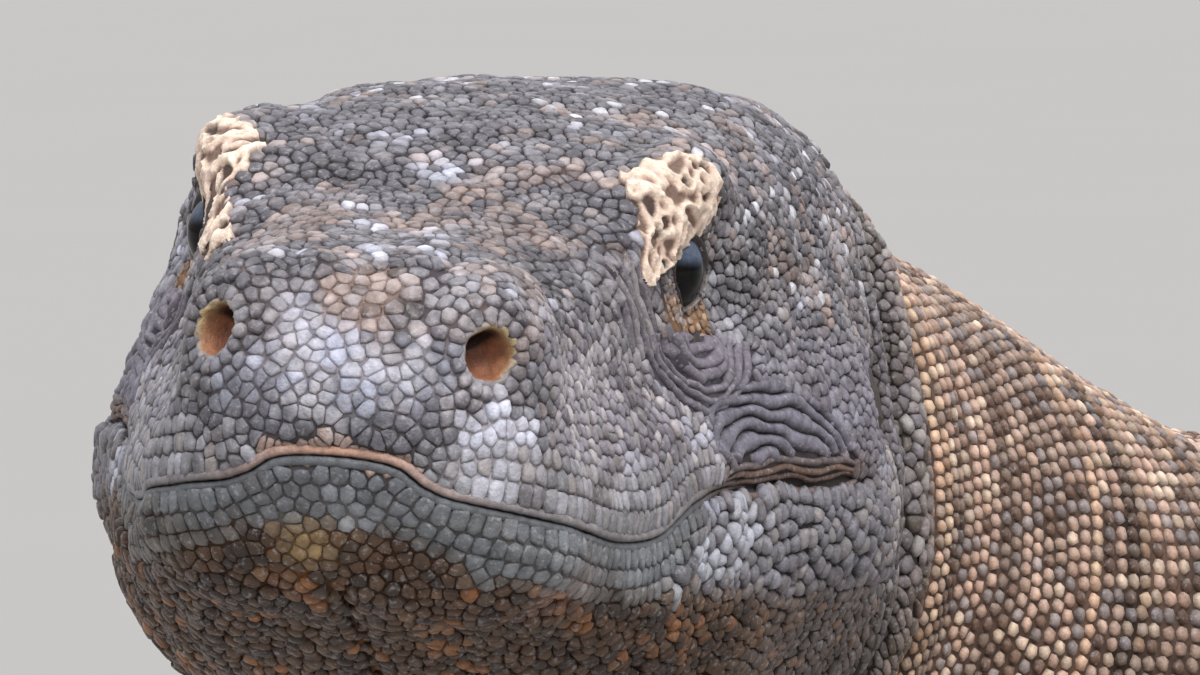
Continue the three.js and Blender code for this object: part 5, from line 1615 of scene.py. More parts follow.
def hide_colour(w, s, u, legness, r):
    """Colour (sRGB bytes) of the hide at points w. r holds four random numbers for each, alike over one scale."""
    p = head_local(w)
    x, d, z = p[:, 0] - lean_at(np.clip(p[:, 1], 0, 300)), p[:, 1], p[:, 2]
    xs = np.abs(x)
    n_ = len(w)
    out = np.zeros((n_, 3))
    r0, r1, r2, r3 = r.T
    big = wobble(w, 30, 2)
    mid = wobble(w + 200, 11, 2)
    slate, lilac, pale = np.array([112, 108, 113.0]), np.array([142, 136, 143.0]), np.array([176, 171, 178.0])

    def mix(colour, m):
        nonlocal out
        m = np.asarray(m)[:, None]
        out = out + (np.asarray(colour, float) - out) * m
    # ---- head
    out[:] = slate
    mix(lilac, np.clip(0.5 + 0.5 * mid, 0, 1))
    out += ((r0 - 0.5) * 20)[:, None]
    out += np.stack([(r1 - 0.4) * 9, (r1 - 0.4) * 2, -(r1 - 0.4) * 5], 1)
    top = ramp(z, 20, 34)
    mix([82, 78, 85], top * 0.72)
    # scattered brown and pink scales on top
    tint = wobble(w + 500, 8, 2)
    mix([132, 112, 104], top * ramp(tint + 0.5 * (r2 - 0.5), 0.15, 0.75) * 0.75)
    mix([196, 176, 168], top * ramp(wobble(w + 700, 6, 2) + 0.5 * (r3 - 0.5), 0.55, 0.95) * 0.7)
    mix([74, 70, 74], top * ramp(wobble(w + 900, 7, 2) + 0.6 * (r3 - 0.5), 0.45, 0.9) * 0.75)
    # bridge of the snout: pinkish tan
    bridge = np.exp(-((d - 14) / 10) ** 2 - ((x - 2) / 10) ** 2) * (z > 22)
    mix([198, 172, 160], ramp(bridge + 0.6 * (r2 - 0.5) + 0.45 * tint, 0.25, 0.8) * 0.75)
    mix([96, 78, 70], ramp(bridge, 0.2, 0.5) * (r3 < 0.2) * 0.8)
    ridge = np.exp(-((d - 62) / 20) ** 2 - ((xs - 18) / 8) ** 2) * (z > 30)
    mix([150, 128, 118], ramp(ridge + 0.5 * (r2 - 0.5), 0.3, 0.8) * 0.5)
    # front of the snout, greyer and darker low down; nose: blue-white, partly pale scales and partly a painted sheen of
    # the sky
    low_front = np.exp(-((d - 2) / 16) ** 2) * ramp(-z, -20, -6) * ramp(z, -10, -2)
    mix([98, 97, 104], low_front * 0.7)
    nose = np.exp(-((d - 3) / 17) ** 2 - ((z - 15.5) / 9.5) ** 2 - ((x - 2) / 24) ** 2)
    mix([182, 185, 204], ramp(nose + 0.35 * (r2 - 0.5) + 0.40 * mid, 0.15, 0.80) * 0.85)
    mix([104, 104, 114], (r3 < 0.16) * ramp(nose, 0.15, 0.4) * 0.6)
    # bloom below the left nostril, and along the cheek
    bloom = np.exp(-((x - 28) / 8.5) ** 2 - ((z - 5) / 9.5) ** 2 - ((d - 9) / 14) ** 2) + 0.4 * np.exp(-((x + 34) / 9) ** 2 - ((z - 2) / 9) ** 2 - ((d - 12) / 16) ** 2)
    mix([226, 227, 242], ramp(bloom + 0.35 * (r2 - 0.5) + 0.35 * mid, 0.15, 0.6) * 0.95)
    bloom = np.exp(-((d - 96) / 11) ** 2 - ((z - 6) / 8) ** 2) * (xs > 40)
    mix([204, 206, 222], ramp(bloom + 0.4 * (r2 - 0.5), 0.25, 0.7) * 0.9)
    bloom = np.exp(-((d - 97) / 5) ** 2 - ((z + 4) / 4) ** 2) * (xs > 40)
    mix([190, 202, 228], ramp(bloom + 0.3 * (r2 - 0.5), 0.35, 0.8) * 0.85)
    above_lip = np.exp(-((z - 2.5) / 6) ** 2) * (1 - ramp(x, 10, 18)) * ramp(-d, -46, -26)
    mix([92, 91, 98], above_lip * np.clip(0.88 - 0.4 * tint, 0, 1))
    # side of the snout: lilac with tan
    lore = ramp(d, 20, 34) * ramp(-d, -112, -92) * ramp(-z, -32, -22) * ramp(z, -14, -4)
    mix([158, 151, 162], lore * 0.6)
    mix([196, 186, 184], lore * (r3 < 0.20) * 0.7)
    mix([96, 92, 98], lore * (r1 > 0.78) * 0.6)
    mix([120, 118, 112], lore * (r1 < 0.12) * 0.5)
    # white flecks on temple and cheek
    temple = ramp(d, 110, 130) * ramp(z, 14, 26)
    mix([212, 211, 217], temple * (r3 < 0.045) * 0.9)
    mix([158, 154, 160], temple * (r3 > 0.84) * 0.6)
    spot = np.exp(-((d - 122.5) / 3.2) ** 2 - ((z - 29.5) / 2.6) ** 2) * (xs > 40)
    mix([214, 213, 220], ramp(spot, 0.3, 0.6) * 0.9)
    cheek = ramp(d, 104, 120) * ramp(z, 3, 8) * ramp(-z, -34, -26)
    mix([116, 110, 122], cheek * 0.75)
    pouch = np.exp(-((d - 104) / 15) ** 2 - ((z - 23.5) / 6) ** 2) * (xs > 36)
    mix([112, 106, 116], ramp(pouch, 0.3, 0.7) * 0.8)
    # under the eye: orange-tan
    tan_ = np.exp(-((d - 99) / 11) ** 2 - ((z - 30.8) / 2.9) ** 2) * (xs > 36)
    mix([192, 146, 98], ramp(tan_ + 0.3 * (r2 - 0.5), 0.3, 0.75) * 0.92)
    # corner of the mouth: brown
    line = np.exp(-((z - rictus(d) - 2.2) / 2.6) ** 2) * ramp(d, 92, 110) * ramp(-d, -182, -164) * (xs > 30)
    mix([98, 70, 58], line * np.clip(0.8 + 0.5 * tint, 0, 1) * 0.9)
    # lips
    lip_low = np.exp(-((z + 16) / 10) ** 2) * ramp(-d, -112, -80)
    mix([108, 112, 114], lip_low * ramp(-z, 3, 9) * 0.75)
    # jowl: grey beads, white towards the front
    jowl = ramp(d, 100, 116) * ramp(-z, -2, 2) * ramp(z, -32, -20)
    mix([112, 109, 117], jowl * 0.7)
    mix([150, 142, 140], jowl * (r3 > 0.80) * 0.7)
    band = bead_band(xs, d, z)
    mix([192, 194, 204], band * ramp(r3, 0.85, 0.60) * 0.85)
    mix([120, 116, 122], band * (r3 > 0.82) * 0.7)
    # throat: tan and orange, brown between; the dark brown base is partly painted shade under the jaw
    start = 11 + 7.5 * ramp(x, 8, 28) + 3 * tint
    under = ramp(-z - start, 0, 5) * ramp(-d, -168, -120)
    mix([82, 54, 31], under * 0.98)
    mix([156, 98, 46], under * ramp(tint + 0.8 * (r2 - 0.5), 0.25, 0.6) * 0.8)
    mix([48, 34, 26], under * (r3 < 0.34) * 0.75)
    mix([96, 80, 66], under * (r1 > 0.86) * 0.5)
    far_under = ramp(-z, 14, 26) * ramp(d, 120, 160)
    mix([92, 80, 74], far_under * 0.85)
    mix([140, 106, 84], far_under * (r2 < 0.2) * 0.7)
    patch = np.exp(-((x + 6) / 6) ** 2 - ((z + 17) / 4) ** 2) * (d < 30)
    mix([190, 160, 110], patch * 0.8)
    patch = np.exp(-((d - 40) / 9) ** 2 - ((z + 20) / 5) ** 2) * (x > 20)
    mix([205, 150, 130], patch * 0.75)
    # bare brow: cream lumps with brown between
    bare = brow_field(p)
    cream = np.array([[238, 214, 194.0]]) + ((r0 - 0.5) * 16)[:, None]
    cream = np.where((r2 < 0.30)[:, None], [[216, 180, 154.0]], cream)
    cream = np.where((r3 < 0.10)[:, None], [[128, 96, 78.0]], cream)
    out = out + (cream - out) * bare[:, None]
    head = out
    # ---- body
    a = 360 * np.minimum(u, 1 - u)
    neck = ramp(s, 226, 262)
    body = np.zeros((n_, 3))
    body[:] = [126, 106, 92]
    out = body
    band = wobble(np.stack([s / 9.0, a / 60, 0 * s], 1), 1.0, 1)
    neck_w = 1 - ramp(s + 30 * big, 420, 880)
    # neck: tan and pink columns with brown and grey
    mix([206, 168, 146], neck_w * np.clip(0.75 + 0.6 * band, 0, 1))
    mix([104, 74, 56], neck_w * (r2 < 0.24 - 0.28 * band) * 0.85)
    mix([140, 128, 126], neck_w * (r3 < 0.18) * 0.8)
    mix([228, 202, 176], neck_w * (r3 > 0.84 - 0.08 * band) * 0.8)
    # trunk and tail: grey brown, ochre flecks, darker above, yellowish belly
    rest = 1 - neck_w
    mix([104, 92, 84], rest * ramp(-a, -80, -30) * 0.65)
    mix([160, 120, 86], rest * (r2 < 0.18 + 0.14 * np.clip(big, 0, 1)) * 0.75)
    mix([88, 78, 74], rest * (r3 < 0.25 + 0.15 * np.clip(-big, 0, 1)) * 0.7)
    mix([176, 156, 132], rest * (r3 > 0.91) * 0.8)
    stripes = 0.5 + 0.5 * np.sin(s / 13 + 2.2 * big)
    mix([160, 138, 108], ramp(a, 112, 150) * 0.75)
    mix([104, 84, 66], ramp(a, 120, 150) * ramp(stripes, 0.62, 0.9) * 0.5)
    tail = ramp(s, 1240, 1700)
    mix([92, 82, 76], tail * 0.6)
    mix([118, 98, 80], tail * (np.sin(s / 24 + 1.2 * big) > 0.35) * 0.35)
    mix([120, 104, 86], tail * ramp(a, 130, 165) * 0.5)
    leg = np.clip(legness, 0, 1)
    mix([98, 88, 82], leg * 0.8)
    mix([146, 118, 92], leg * (r2 < 0.12) * 0.6)
    mix([72, 65, 62], leg * (r3 < 0.25) * 0.7)
    mix([158, 140, 116], leg * (r3 > 0.95) * 0.6)
    foot = leg * ramp(-w[:, 2], -60, -25)
    mix([82, 74, 70], foot * 0.6)
    mix([120, 104, 88], leg * ramp(-w[:, 2], -6, -2) * 0.7)
    out += ((r0 - 0.5) * 30)[:, None]
    body = out
    # collar: grey, with pale streaks
    collar = np.exp(-((s - 232) / 16) ** 2) * ramp(a, 30, 60)
    out = head + (body - head) * neck[:, None]
    mix([112, 106, 108], collar * 0.55)
    mix([178, 172, 168], collar * (r3 > 0.78) * 0.75)
    mix([74, 62, 50], collar * (r2 < 0.22) * 0.75)
    # painted shade down in the folds of the collar, and a pale fold in front of them
    for at in COLLAR_FOLDS:
        mix([52, 42, 36], np.exp(-((s + collar_wave(a) - at[0]) / 2.6) ** 2) * ramp(a, 34, 60) * min(1, at[1] / 3.3) * 0.8)
    streak = np.exp(-((s + collar_wave(a) - 202) / 5) ** 2) * ramp(a, 80, 96) * ramp(-a, -136, -120)
    mix([182, 170, 160], streak * (r3 > 0.35) * 0.75)
    return np.clip(out, 14, 240)


def legness_of(w):
    out = np.zeros(len(w))
    k = np.where((w[:, 1] > -880) & (w[:, 1] < 80))[0]
    _, _, dd = nearest(tube_tree, w[k])
    out[k] = ramp(dd, 2, 40)
    return out


# ================================================================ building scales
S = scales.all()
tot = len(S["p"])
told(f"{tot} scales in all")
tree = tree_of(S["p"])
K = 12
find = tree.find_n
got = np.empty((tot, K), int)
for i, q in enumerate(S["p"].tolist()):
    got[i] = [x[1] for x in find(q, K + 1)][1:K + 1]
other = np.cross(S["n"], S["lie"])
v = S["p"][got] - S["p"][:, None]
# scales on another fold's side don't count as neighbours
facing = (S["n"][got] * S["n"][:, None]).sum(-1) > 0.15
dx = (v * S["lie"][:, None]).sum(-1) / (S["a"][:, None] / 2)
dy = (v * other[:, None]).sum(-1) / (S["b"][:, None] / 2)
dist = np.hypot(dx, dy)
dist = np.where(facing & (dist > 0.2), dist, 9.0)
ang = np.arctan2(dy, dx)
sizeable = 0.5 * (S["a"] + S["b"])
seed = rng.uniform(0, 1, (tot, 4))
ps, pu = body_place(S["p"])
leg_n = legness_of(S["p"])
near_collar = np.where((ps < 320) & (ps > 190) & (S["group"] == GROUP_BODY))[0]
_c, _, _b, _ = spine_frame(ps[near_collar])
ps[near_collar] += np.clip(dots(S["p"][near_collar] - _c, _b), -8, 8)
rgb = hide_colour(S["p"], ps, pu, leg_n, seed)
m = S["tag"] == 3
rgb[m] = np.where(seed[m, 3:4] < 0.14, [168, 152, 142], np.where(seed[m, 2:3] < 0.4, [84, 74, 72], [110, 101, 102]))
low_lid = m & (head_local(S["p"])[:, 2] < 35.5)
rgb[low_lid] = rgb[low_lid] * 0.45 + np.array([186, 142, 100]) * 0.55
m = S["tag"] == 1
lipmix = np.where(seed[:, 3] < 0.22, 1.0, 0.0)
rgb[m] = rgb[m] * 0.5 + np.array([146, 143, 146]) * 0.5 + (seed[m, :1] - 0.5) * 26
for test, tone_ in ((seed[:, 2] < 0.10, [172, 158, 150]), (seed[:, 2] > 0.88, [124, 124, 126]), (seed[:, 3] > 0.90, [188, 188, 196])):
    rgb[m & test] = rgb[m & test] * 0.5 + np.array(tone_) * 0.5
# the margin at the front is pinkish tan
hl_ = head_local(S["p"])
front_lip = m & (np.abs(hl_[:, 0]) < 15) & (hl_[:, 1] < 16) & (mouth_distance(S["p"])[0] < 6.5)
rgb[front_lip] = rgb[front_lip] * 0.35 + np.array([178, 142, 122]) * 0.65
m = S["tag"] == 2
rgb[m] = rgb[m] * 0.35 + np.array([108, 112, 116]) * 0.65 + ((seed[m, :1] - 0.5) * 20)
# each row round the neck has a tone of its own
row_no = np.where(S["tag"] >= 1000, S["tag"] - 1000, -1).astype(int)
tone = np.random.RandomState(8).uniform(-1, 1, row_no.max() + 2)[row_no]
on_neck = ((row_no >= 0) * (1 - ramp(ps, 420, 640)))[:, None]
rgb = rgb + on_neck * (tone[:, None] * [20, 17, 15])
rgb = np.where((on_neck > 0.4) & (tone[:, None] > 0.6), rgb * 0.7 + np.array([190, 150, 108]) * 0.3, rgb)
rgb = np.clip(rgb, 12, 244)
slim = 1 - 0.30 * (row_no >= 0) * ramp(ps, 236, 262) * (1 - ramp(ps, 430, 760)) - 0.07 * (row_no >= 0) * ramp(ps, 430, 760)
hue = linear(rgb)
# the tops: paler or darker than the rest of the scale, here and there, and a little paler on average, part of the
# painted shading of the domes
tips = hue * (1.06 + 0.30 * (seed[:, 1:2] - 0.4))
told("scale colours")


def outlines(pick, sides):
    """Each scale's edge as (angle, radius) pairs, in half sizes: its share of the room between it and its neighbours,
    with the points drawn to the corners."""
    n_ = len(pick)
    grid = np.arange(48) / 48 * 2 * np.pi
    r = np.empty((n_, 48), np.float32)
    power = S["round"][pick][:, None, None]
    for a0 in range(0, n_, 4000):
        k = pick[a0:a0 + 4000]
        c = np.maximum(np.cos(grid[None, :, None] - ang[k][:, None, :]), 0)
        q = np.power(c / (dist[k][:, None, :] / 2), power[a0:a0 + 4000])
        own = np.power(1 / 1.62, power[a0:a0 + 4000, 0, 0])[:, None]
        r[a0:a0 + 4000] = np.power(q.sum(-1) + own, -1 / power[a0:a0 + 4000, :, 0])
    r = np.clip(r, 0.35, 1.85)
    bend = np.abs(np.roll(r, 1, 1) + np.roll(r, -1, 1) - 2 * r)
    bend = np.roll(bend, 1, 1) + 2 * bend + np.roll(bend, -1, 1)
    weight = bend / bend.sum(1, keepdims=True) + 0.55 / 48
    first = np.argmax(r, 1)
    order = (first[:, None] + np.arange(48)[None]) % 48
    weight = np.take_along_axis(weight, order, 1)
    cum = np.cumsum(weight, 1) - weight / 2
    cum = (cum - cum[:, :1]) / weight.sum(1, keepdims=True)
    want = np.arange(sides) / sides
    at = np.empty((n_, sides))
    for m in range(sides):
        k = np.clip((cum <= want[m]).sum(1) - 1, 0, 46)
        c0, c1 = cum[np.arange(n_), k], cum[np.arange(n_), k + 1]
        at[:, m] = k + np.clip((want[m] - c0) / np.maximum(c1 - c0, 1e-9), 0, 1)
    at = at + first[:, None]
    k = np.floor(at).astype(int)
    t = at - k
    rr = np.take_along_axis(r, k % 48, 1) * (1 - t) + np.take_along_axis(r, (k + 1) % 48, 1) * t
    return at / 48 * 2 * np.pi, rr


def domes(pick, sides, two):
    """Vertices, triangles, colours and roots of the chosen scales. two adds a second shoulder ring for rounder beads."""
    n_ = len(pick)
    phi, r = outlines(pick, sides)
    half_a, half_b = (S["a"][pick] / 2 * slim[pick])[:, None], (S["b"][pick] / 2)[:, None]
    P, N, L, O = S["p"][pick], S["n"][pick], S["lie"][pick], other[pick]
    mean = r.mean(1)
    tall = S["high"][pick] * np.sqrt(S["a"][pick] * S["b"][pick]) * np.minimum(mean, 1.2) * (0.85 + 0.3 * seed[pick, 1])
    rock = (seed[pick, 2] - 0.5) * 0.20         # scales tilt a little

    def ring(share, level, gap=0.0):
        x = r * share * half_a * np.cos(phi)
        y = r * share * half_b * np.sin(phi)
        if gap:
            far = np.maximum(np.hypot(x, y), 0.3)
            x, y = x * (1 - gap / far), y * (1 - gap / far)
        up = (level * tall)[:, None] + rock[:, None] * x
        return P[:, None] + x[..., None] * L[:, None] + y[..., None] * O[:, None] + up[..., None] * N[:, None]
    base = ring(1.0, 0 * tall, 0.03) + (-0.42 * N)[:, None]
    # painted shade: the foot ring and the shoulder of each scale are darker than its top, shade in the crevices between
    # scales
    if two:
        layers = [base, ring(0.992, tall * 0 + 0.46, 0.055), ring(0.74, tall * 0 + 0.93, 0.06)]
        shade = [0.26, 0.78, 1.0]
    else:
        layers = [base, ring(0.88, tall * 0 + 0.72, 0.10)]
        shade = [0.18, 0.92]
    top = P + N * (tall)[:, None]
    v = np.concatenate(layers + [top[:, None]], 1)
    per = v.shape[1]
    j = np.arange(sides)
    k = (j + 1) % sides
    f = []
    for q in range(len(layers) - 1):
        a0, b0 = q * sides, (q + 1) * sides
        f += [np.stack([a0 + j, a0 + k, b0 + j], 1), np.stack([a0 + k, b0 + k, b0 + j], 1)]
    b0 = (len(layers) - 1) * sides
    f.append(np.stack([b0 + j, b0 + k, np.full(sides, per - 1)], 1))
    f = np.concatenate(f)
    tri = (f[None] + (np.arange(n_) * per)[:, None, None]).reshape(-1, 3)
    dome_shade = np.concatenate([np.full(sides, x) for x in shade] + [[1.0]])
    dome_shade = np.tile(dome_shade, (n_, 1))
    front = (ramp(-ps[pick], -120, -60) * (S["group"][pick] == GROUP_BODY))[:, None]
    # less painted crevice shade at the front of the face
    dome_shade = dome_shade + (dome_shade < 0.5) * 0.40 * front
    colours = hue[pick][:, None] * dome_shade[..., None]
    colours[:, -1] = tips[pick]
    if two:
        headness = (1 - ramp(ps[pick], 225, 262)) * (S["group"][pick] == GROUP_BODY)
        flat_v = v.reshape(-1, 3)
        crust = ramp(wobble(flat_v + 1500, 7.0, 2) + 0.6 * wobble(flat_v + 1900, 2.2, 2), 0.18, 0.50).reshape(n_, per)
        grime = ramp(wobble(flat_v + 2500, 6.0, 2) + 0.6 * wobble(flat_v + 2900, 2.4, 2), 0.22, 0.55).reshape(n_, per)
        low = ramp(-S["p"][pick][:, 2], -(MOUTH_HEIGHT + 10), -(MOUTH_HEIGHT - 3))      # less pale crust below the mouth
        high_up = ramp(S["p"][pick][:, 2], MOUTH_HEIGHT + 22, MOUTH_HEIGHT + 36)
        k_ = (crust * (headness * (0.32 + 0.16 * front[:, 0]) * (1 - low) * (1 - 0.45 * high_up))[:, None])[..., None] * np.minimum(1, dome_shade * 1.2)[..., None]
        colours = colours * (1 - k_) + linear([196, 190, 194]) * k_
        k_ = (grime * (headness * 0.38)[:, None])[..., None]
        colours = colours * (1 - k_) + colours * linear([150, 134, 128]) * 1.1 * k_
    verts = v.reshape(-1, 3)
    verts[:, 2] = np.maximum(verts[:, 2], 0.06)
    flat = np.concatenate([np.stack([np.cos(phi), np.sin(phi)], -1) * x for x in ([1.0, 0.92, 0.7] if two else [1.0, 0.85])] + [np.zeros((n_, 1, 2))], 1)
    return verts, tri, colours.reshape(-1, 3), flat, per


# Coat pieces: eight lengths of skin from snout to tail on the body, one for each leg.
sector = np.minimum((pu * 8).astype(int), 7)
is_limb = S["group"] == GROUP_LIMB
leg_names = list(LEG_PLACES)
leg_c = np.array([centres[k] for k in leg_names])
leg_index = np.argmin(np.linalg.norm(S["p"][:, None, :2] - leg_c[None, :, :2], axis=2), 1)
piece = np.where(is_limb, 8 + leg_index, sector)
fine_scale = (ps < 260) & ~is_limb


# ================================================================= materials
def new_material(name):
    m = bpy.data.materials.new(name)
    m.use_nodes = True
    nt = m.node_tree
    nt.nodes.clear()
    out = nt.nodes.new("ShaderNodeOutputMaterial")
    bsdf = nt.nodes.new("ShaderNodeBsdfPrincipled")
    nt.links.new(bsdf.outputs[0], out.inputs[0])
    return m, nt, bsdf


def node(nt, kind, **values):
    n_ = nt.nodes.new(kind)
    for k, v_ in values.items():
        if hasattr(n_, k) and not isinstance(k, int):
            setattr(n_, k, v_)
        else:
            n_.inputs[k].default_value = v_
    return n_


def noise_node(nt, coords, scale, detail=3.0, rough=0.55):
    n_ = nt.nodes.new("ShaderNodeTexNoise")
    n_.inputs["Scale"].default_value = scale
    n_.inputs["Detail"].default_value = detail
    n_.inputs["Roughness"].default_value = rough
    nt.links.new(coords, n_.inputs["Vector"])
    return n_


def spread_node(nt, value, a, b, lo, hi):
    n_ = nt.nodes.new("ShaderNodeMapRange")
    nt.links.new(value, n_.inputs["Value"])
    for k, x in (("From Min", a), ("From Max", b), ("To Min", lo), ("To Max", hi)):
        n_.inputs[k].default_value = x
    return n_


def hide_material(name, rough, fine, bump, gloss=0.5, flakes=0.0):
    """Hide whose colour is carried by the mesh, with mottling, grain and gloss from noise."""
    m, nt, bsdf = new_material(name)
    at = nt.nodes.new("ShaderNodeAttribute")
    at.attribute_name = "hue"
    coords = nt.nodes.new("ShaderNodeTexCoord").outputs["Object"]
    a = noise_node(nt, coords, 420.0 * fine, 4.0, 0.6)
    b = noise_node(nt, coords, 1700.0 * fine, 3.0, 0.6)
    c = noise_node(nt, coords, 38.0, 3.0, 0.5)
    ra = spread_node(nt, a.outputs["Fac"], 0.3, 0.7, 0.66, 1.30)
    rc = spread_node(nt, c.outputs["Fac"], 0.3, 0.7, 0.90, 1.10)
    mul = nt.nodes.new("ShaderNodeMath")
    mul.operation = "MULTIPLY"
    nt.links.new(ra.outputs[0], mul.inputs[0])
    nt.links.new(rc.outputs[0], mul.inputs[1])
    mix = nt.nodes.new("ShaderNodeVectorMath")
    mix.operation = "SCALE"
    nt.links.new(at.outputs["Color"], mix.inputs[0])
    nt.links.new(mul.outputs[0], mix.inputs["Scale"])
    # dry pale flakes
    fl = noise_node(nt, coords, 760.0 * fine, 5.0, 0.68)
    pale = spread_node(nt, fl.outputs["Fac"], 0.54, 0.66, 0.0, flakes)
    over = nt.nodes.new("ShaderNodeMix")
    over.data_type = "RGBA"
    nt.links.new(pale.outputs[0], over.inputs[0])
    nt.links.new(mix.outputs[0], over.inputs[6])
    over.inputs[7].default_value = (0.50, 0.48, 0.49, 1)
    nt.links.new(over.outputs[2], bsdf.inputs["Base Color"])
    rr = spread_node(nt, b.outputs["Fac"], 0.3, 0.7, rough - 0.09, rough + 0.12)
    nt.links.new(rr.outputs[0], bsdf.inputs["Roughness"])
    bsdf.inputs["Specular IOR Level"].default_value = gloss
    both = nt.nodes.new("ShaderNodeMath")
    both.operation = "ADD"
    nt.links.new(a.outputs["Fac"], both.inputs[0])
    nt.links.new(b.outputs["Fac"], both.inputs[1])
    bp = nt.nodes.new("ShaderNodeBump")
    bp.inputs["Strength"].default_value = bump
    bp.inputs["Distance"].default_value = 0.0004
    nt.links.new(both.outputs[0], bp.inputs["Height"])
    nt.links.new(bp.outputs[0], bsdf.inputs["Normal"])
    return m


mat_skin = hide_material("hide_between", 0.72, 1.0, 0.5, 0.3)
mat_scale = hide_material("hide_scales", 0.42, 1.0, 0.7, 0.5, 0.40)
mat_bare = hide_material("bare_brow", 0.55, 1.4, 0.8, 0.4)
mat_lip = hide_material("lip_skin", 0.42, 1.2, 0.6, 0.5)
mat_lid = hide_material("lid_skin", 0.55, 1.5, 0.8, 0.4)
mat_nose = hide_material("nostril_lining", 0.38, 1.3, 0.7, 0.5)
mat_claw = hide_material("claw_horn", 0.33, 0.5, 0.35, 0.5)

shown = []


def finish_piece(o, mat, slot, *nodes):
    o.data.materials.append(mat)
    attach(o, "root")
    if nodes:
        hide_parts(*nodes)
    shown.append(o)
    return o


# ---- the skin
sv_s, sv_u = body_place(skin_v)
flesh = [n_ for n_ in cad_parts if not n_.startswith(("eye_", "ear_", "claw_"))]
skin = make_mesh("skin", skin_v, skin_t)
sr = np.full((len(skin_v), 4), 0.5)
sk = hide_colour(skin_v, sv_s, sv_u, np.where(in_reach, ramp(tube_dist, 2, 40), 0), sr)
sk = linear(sk) * [1.0, 0.90, 0.84] * (0.20 + 0.42 * ramp(-sv_s, -115, -55))[:, None]
sk_p = head_local(skin_v)
sk_x = np.abs(sk_p[:, 0])
sk_w = (eye_arcs(sk_x, sk_p[:, 1], sk_p[:, 2])[1] * (sk_p[:, 1] < 140))[:, None]
sk = sk * (1 - sk_w) + linear([96, 90, 100]) * 0.55 * sk_w
bald = brow_field(head_local(skin_v))[:, None] * (skin_v[:, 1:2] < -850)
sk = sk * (1 - bald) + linear([96, 70, 54]) * bald
# painted shade: the skin along the mouth line turns near-black where the lips meet
mouth_line_shade = np.exp(-(mouth_distance(skin_v[front])[0] / 2.2) ** 2)
sk[front] = sk[front] * (1 - mouth_line_shade[:, None]) + np.array([0.012, 0.007, 0.005]) * mouth_line_shade[:, None]
colour_layer(skin, sk)
finish_piece(skin, mat_skin, "hide", *flesh)
told(f"skin {len(skin_t)} triangles")

# ---- the scales
total_tri = 0
for k in range(12):
    pick = np.where(piece == k)[0]
    parts = []
    for sel, sides, two in ((pick[fine_scale[pick]], SCALE_SIDES_HEAD, True), (pick[~fine_scale[pick]], SCALE_SIDES_BODY, False)):
        if len(sel):
            parts.append((sel,) + domes(sel, sides, two))
    verts = np.concatenate([q[1] for q in parts])
    tris, uv, base = [], [], 0
    # the map: each scale is a small patch at its place, along the body and round it
    root_s, root_u = ps[pick], (pu[pick] * 8) % 1.0
    if k >= 8:
        zc = S["p"][pick, 2]
        root_s, root_u = zc, np.arctan2(S["p"][pick, 1] - leg_c[k - 8][1], S["p"][pick, 0] - leg_c[k - 8][0]) / (2 * np.pi) + 0.5
    jit = rng.uniform(0, 1, (len(pick), 2)) * 1e-6
    cols = max(2, int(math.sqrt(len(pick))))
    rank_s = np.argsort(np.argsort(root_s + jit[:, 0]))
    col = np.minimum(rank_s * cols // len(pick), cols - 1)
    place = np.zeros((tot, 2))
    for c_ in range(cols):
        m = np.where(col == c_)[0]
        order = np.argsort(root_u[m] + jit[m, 1])
        r_ = np.empty(len(m))
        r_[order] = (np.arange(len(m)) + 0.5) / len(m)
        place[pick[m], 0] = 0.01 + 0.98 * (c_ + 0.5) / cols
        place[pick[m], 1] = 0.01 + 0.98 * r_
    for sel, v_, t_, c_, flat, per in parts:
        tris.append(t_ + base)
        uv.append((place[sel][:, None] + flat * 0.0015).reshape(-1, 2))
        base += len(v_)
    tris = np.concatenate(tris)
    o = make_mesh(f"scales_{k + 1}", verts, tris)
    colour_layer(o, np.concatenate([q[3] for q in parts]))
    layer = o.data.uv_layers.new(name="OFBake")
    uv = np.concatenate(uv)
    layer.data.foreach_set("uv", uv[tris.ravel()].astype(np.float32).ravel())
    finish_piece(o, mat_scale, "head_hide" if k < 8 else "hide")
    total_tri += len(tris)
    if len(tris) > 199000:
        told(f"WARNING {o.name} has {len(tris)} triangles")
told(f"scales {total_tri} triangles")

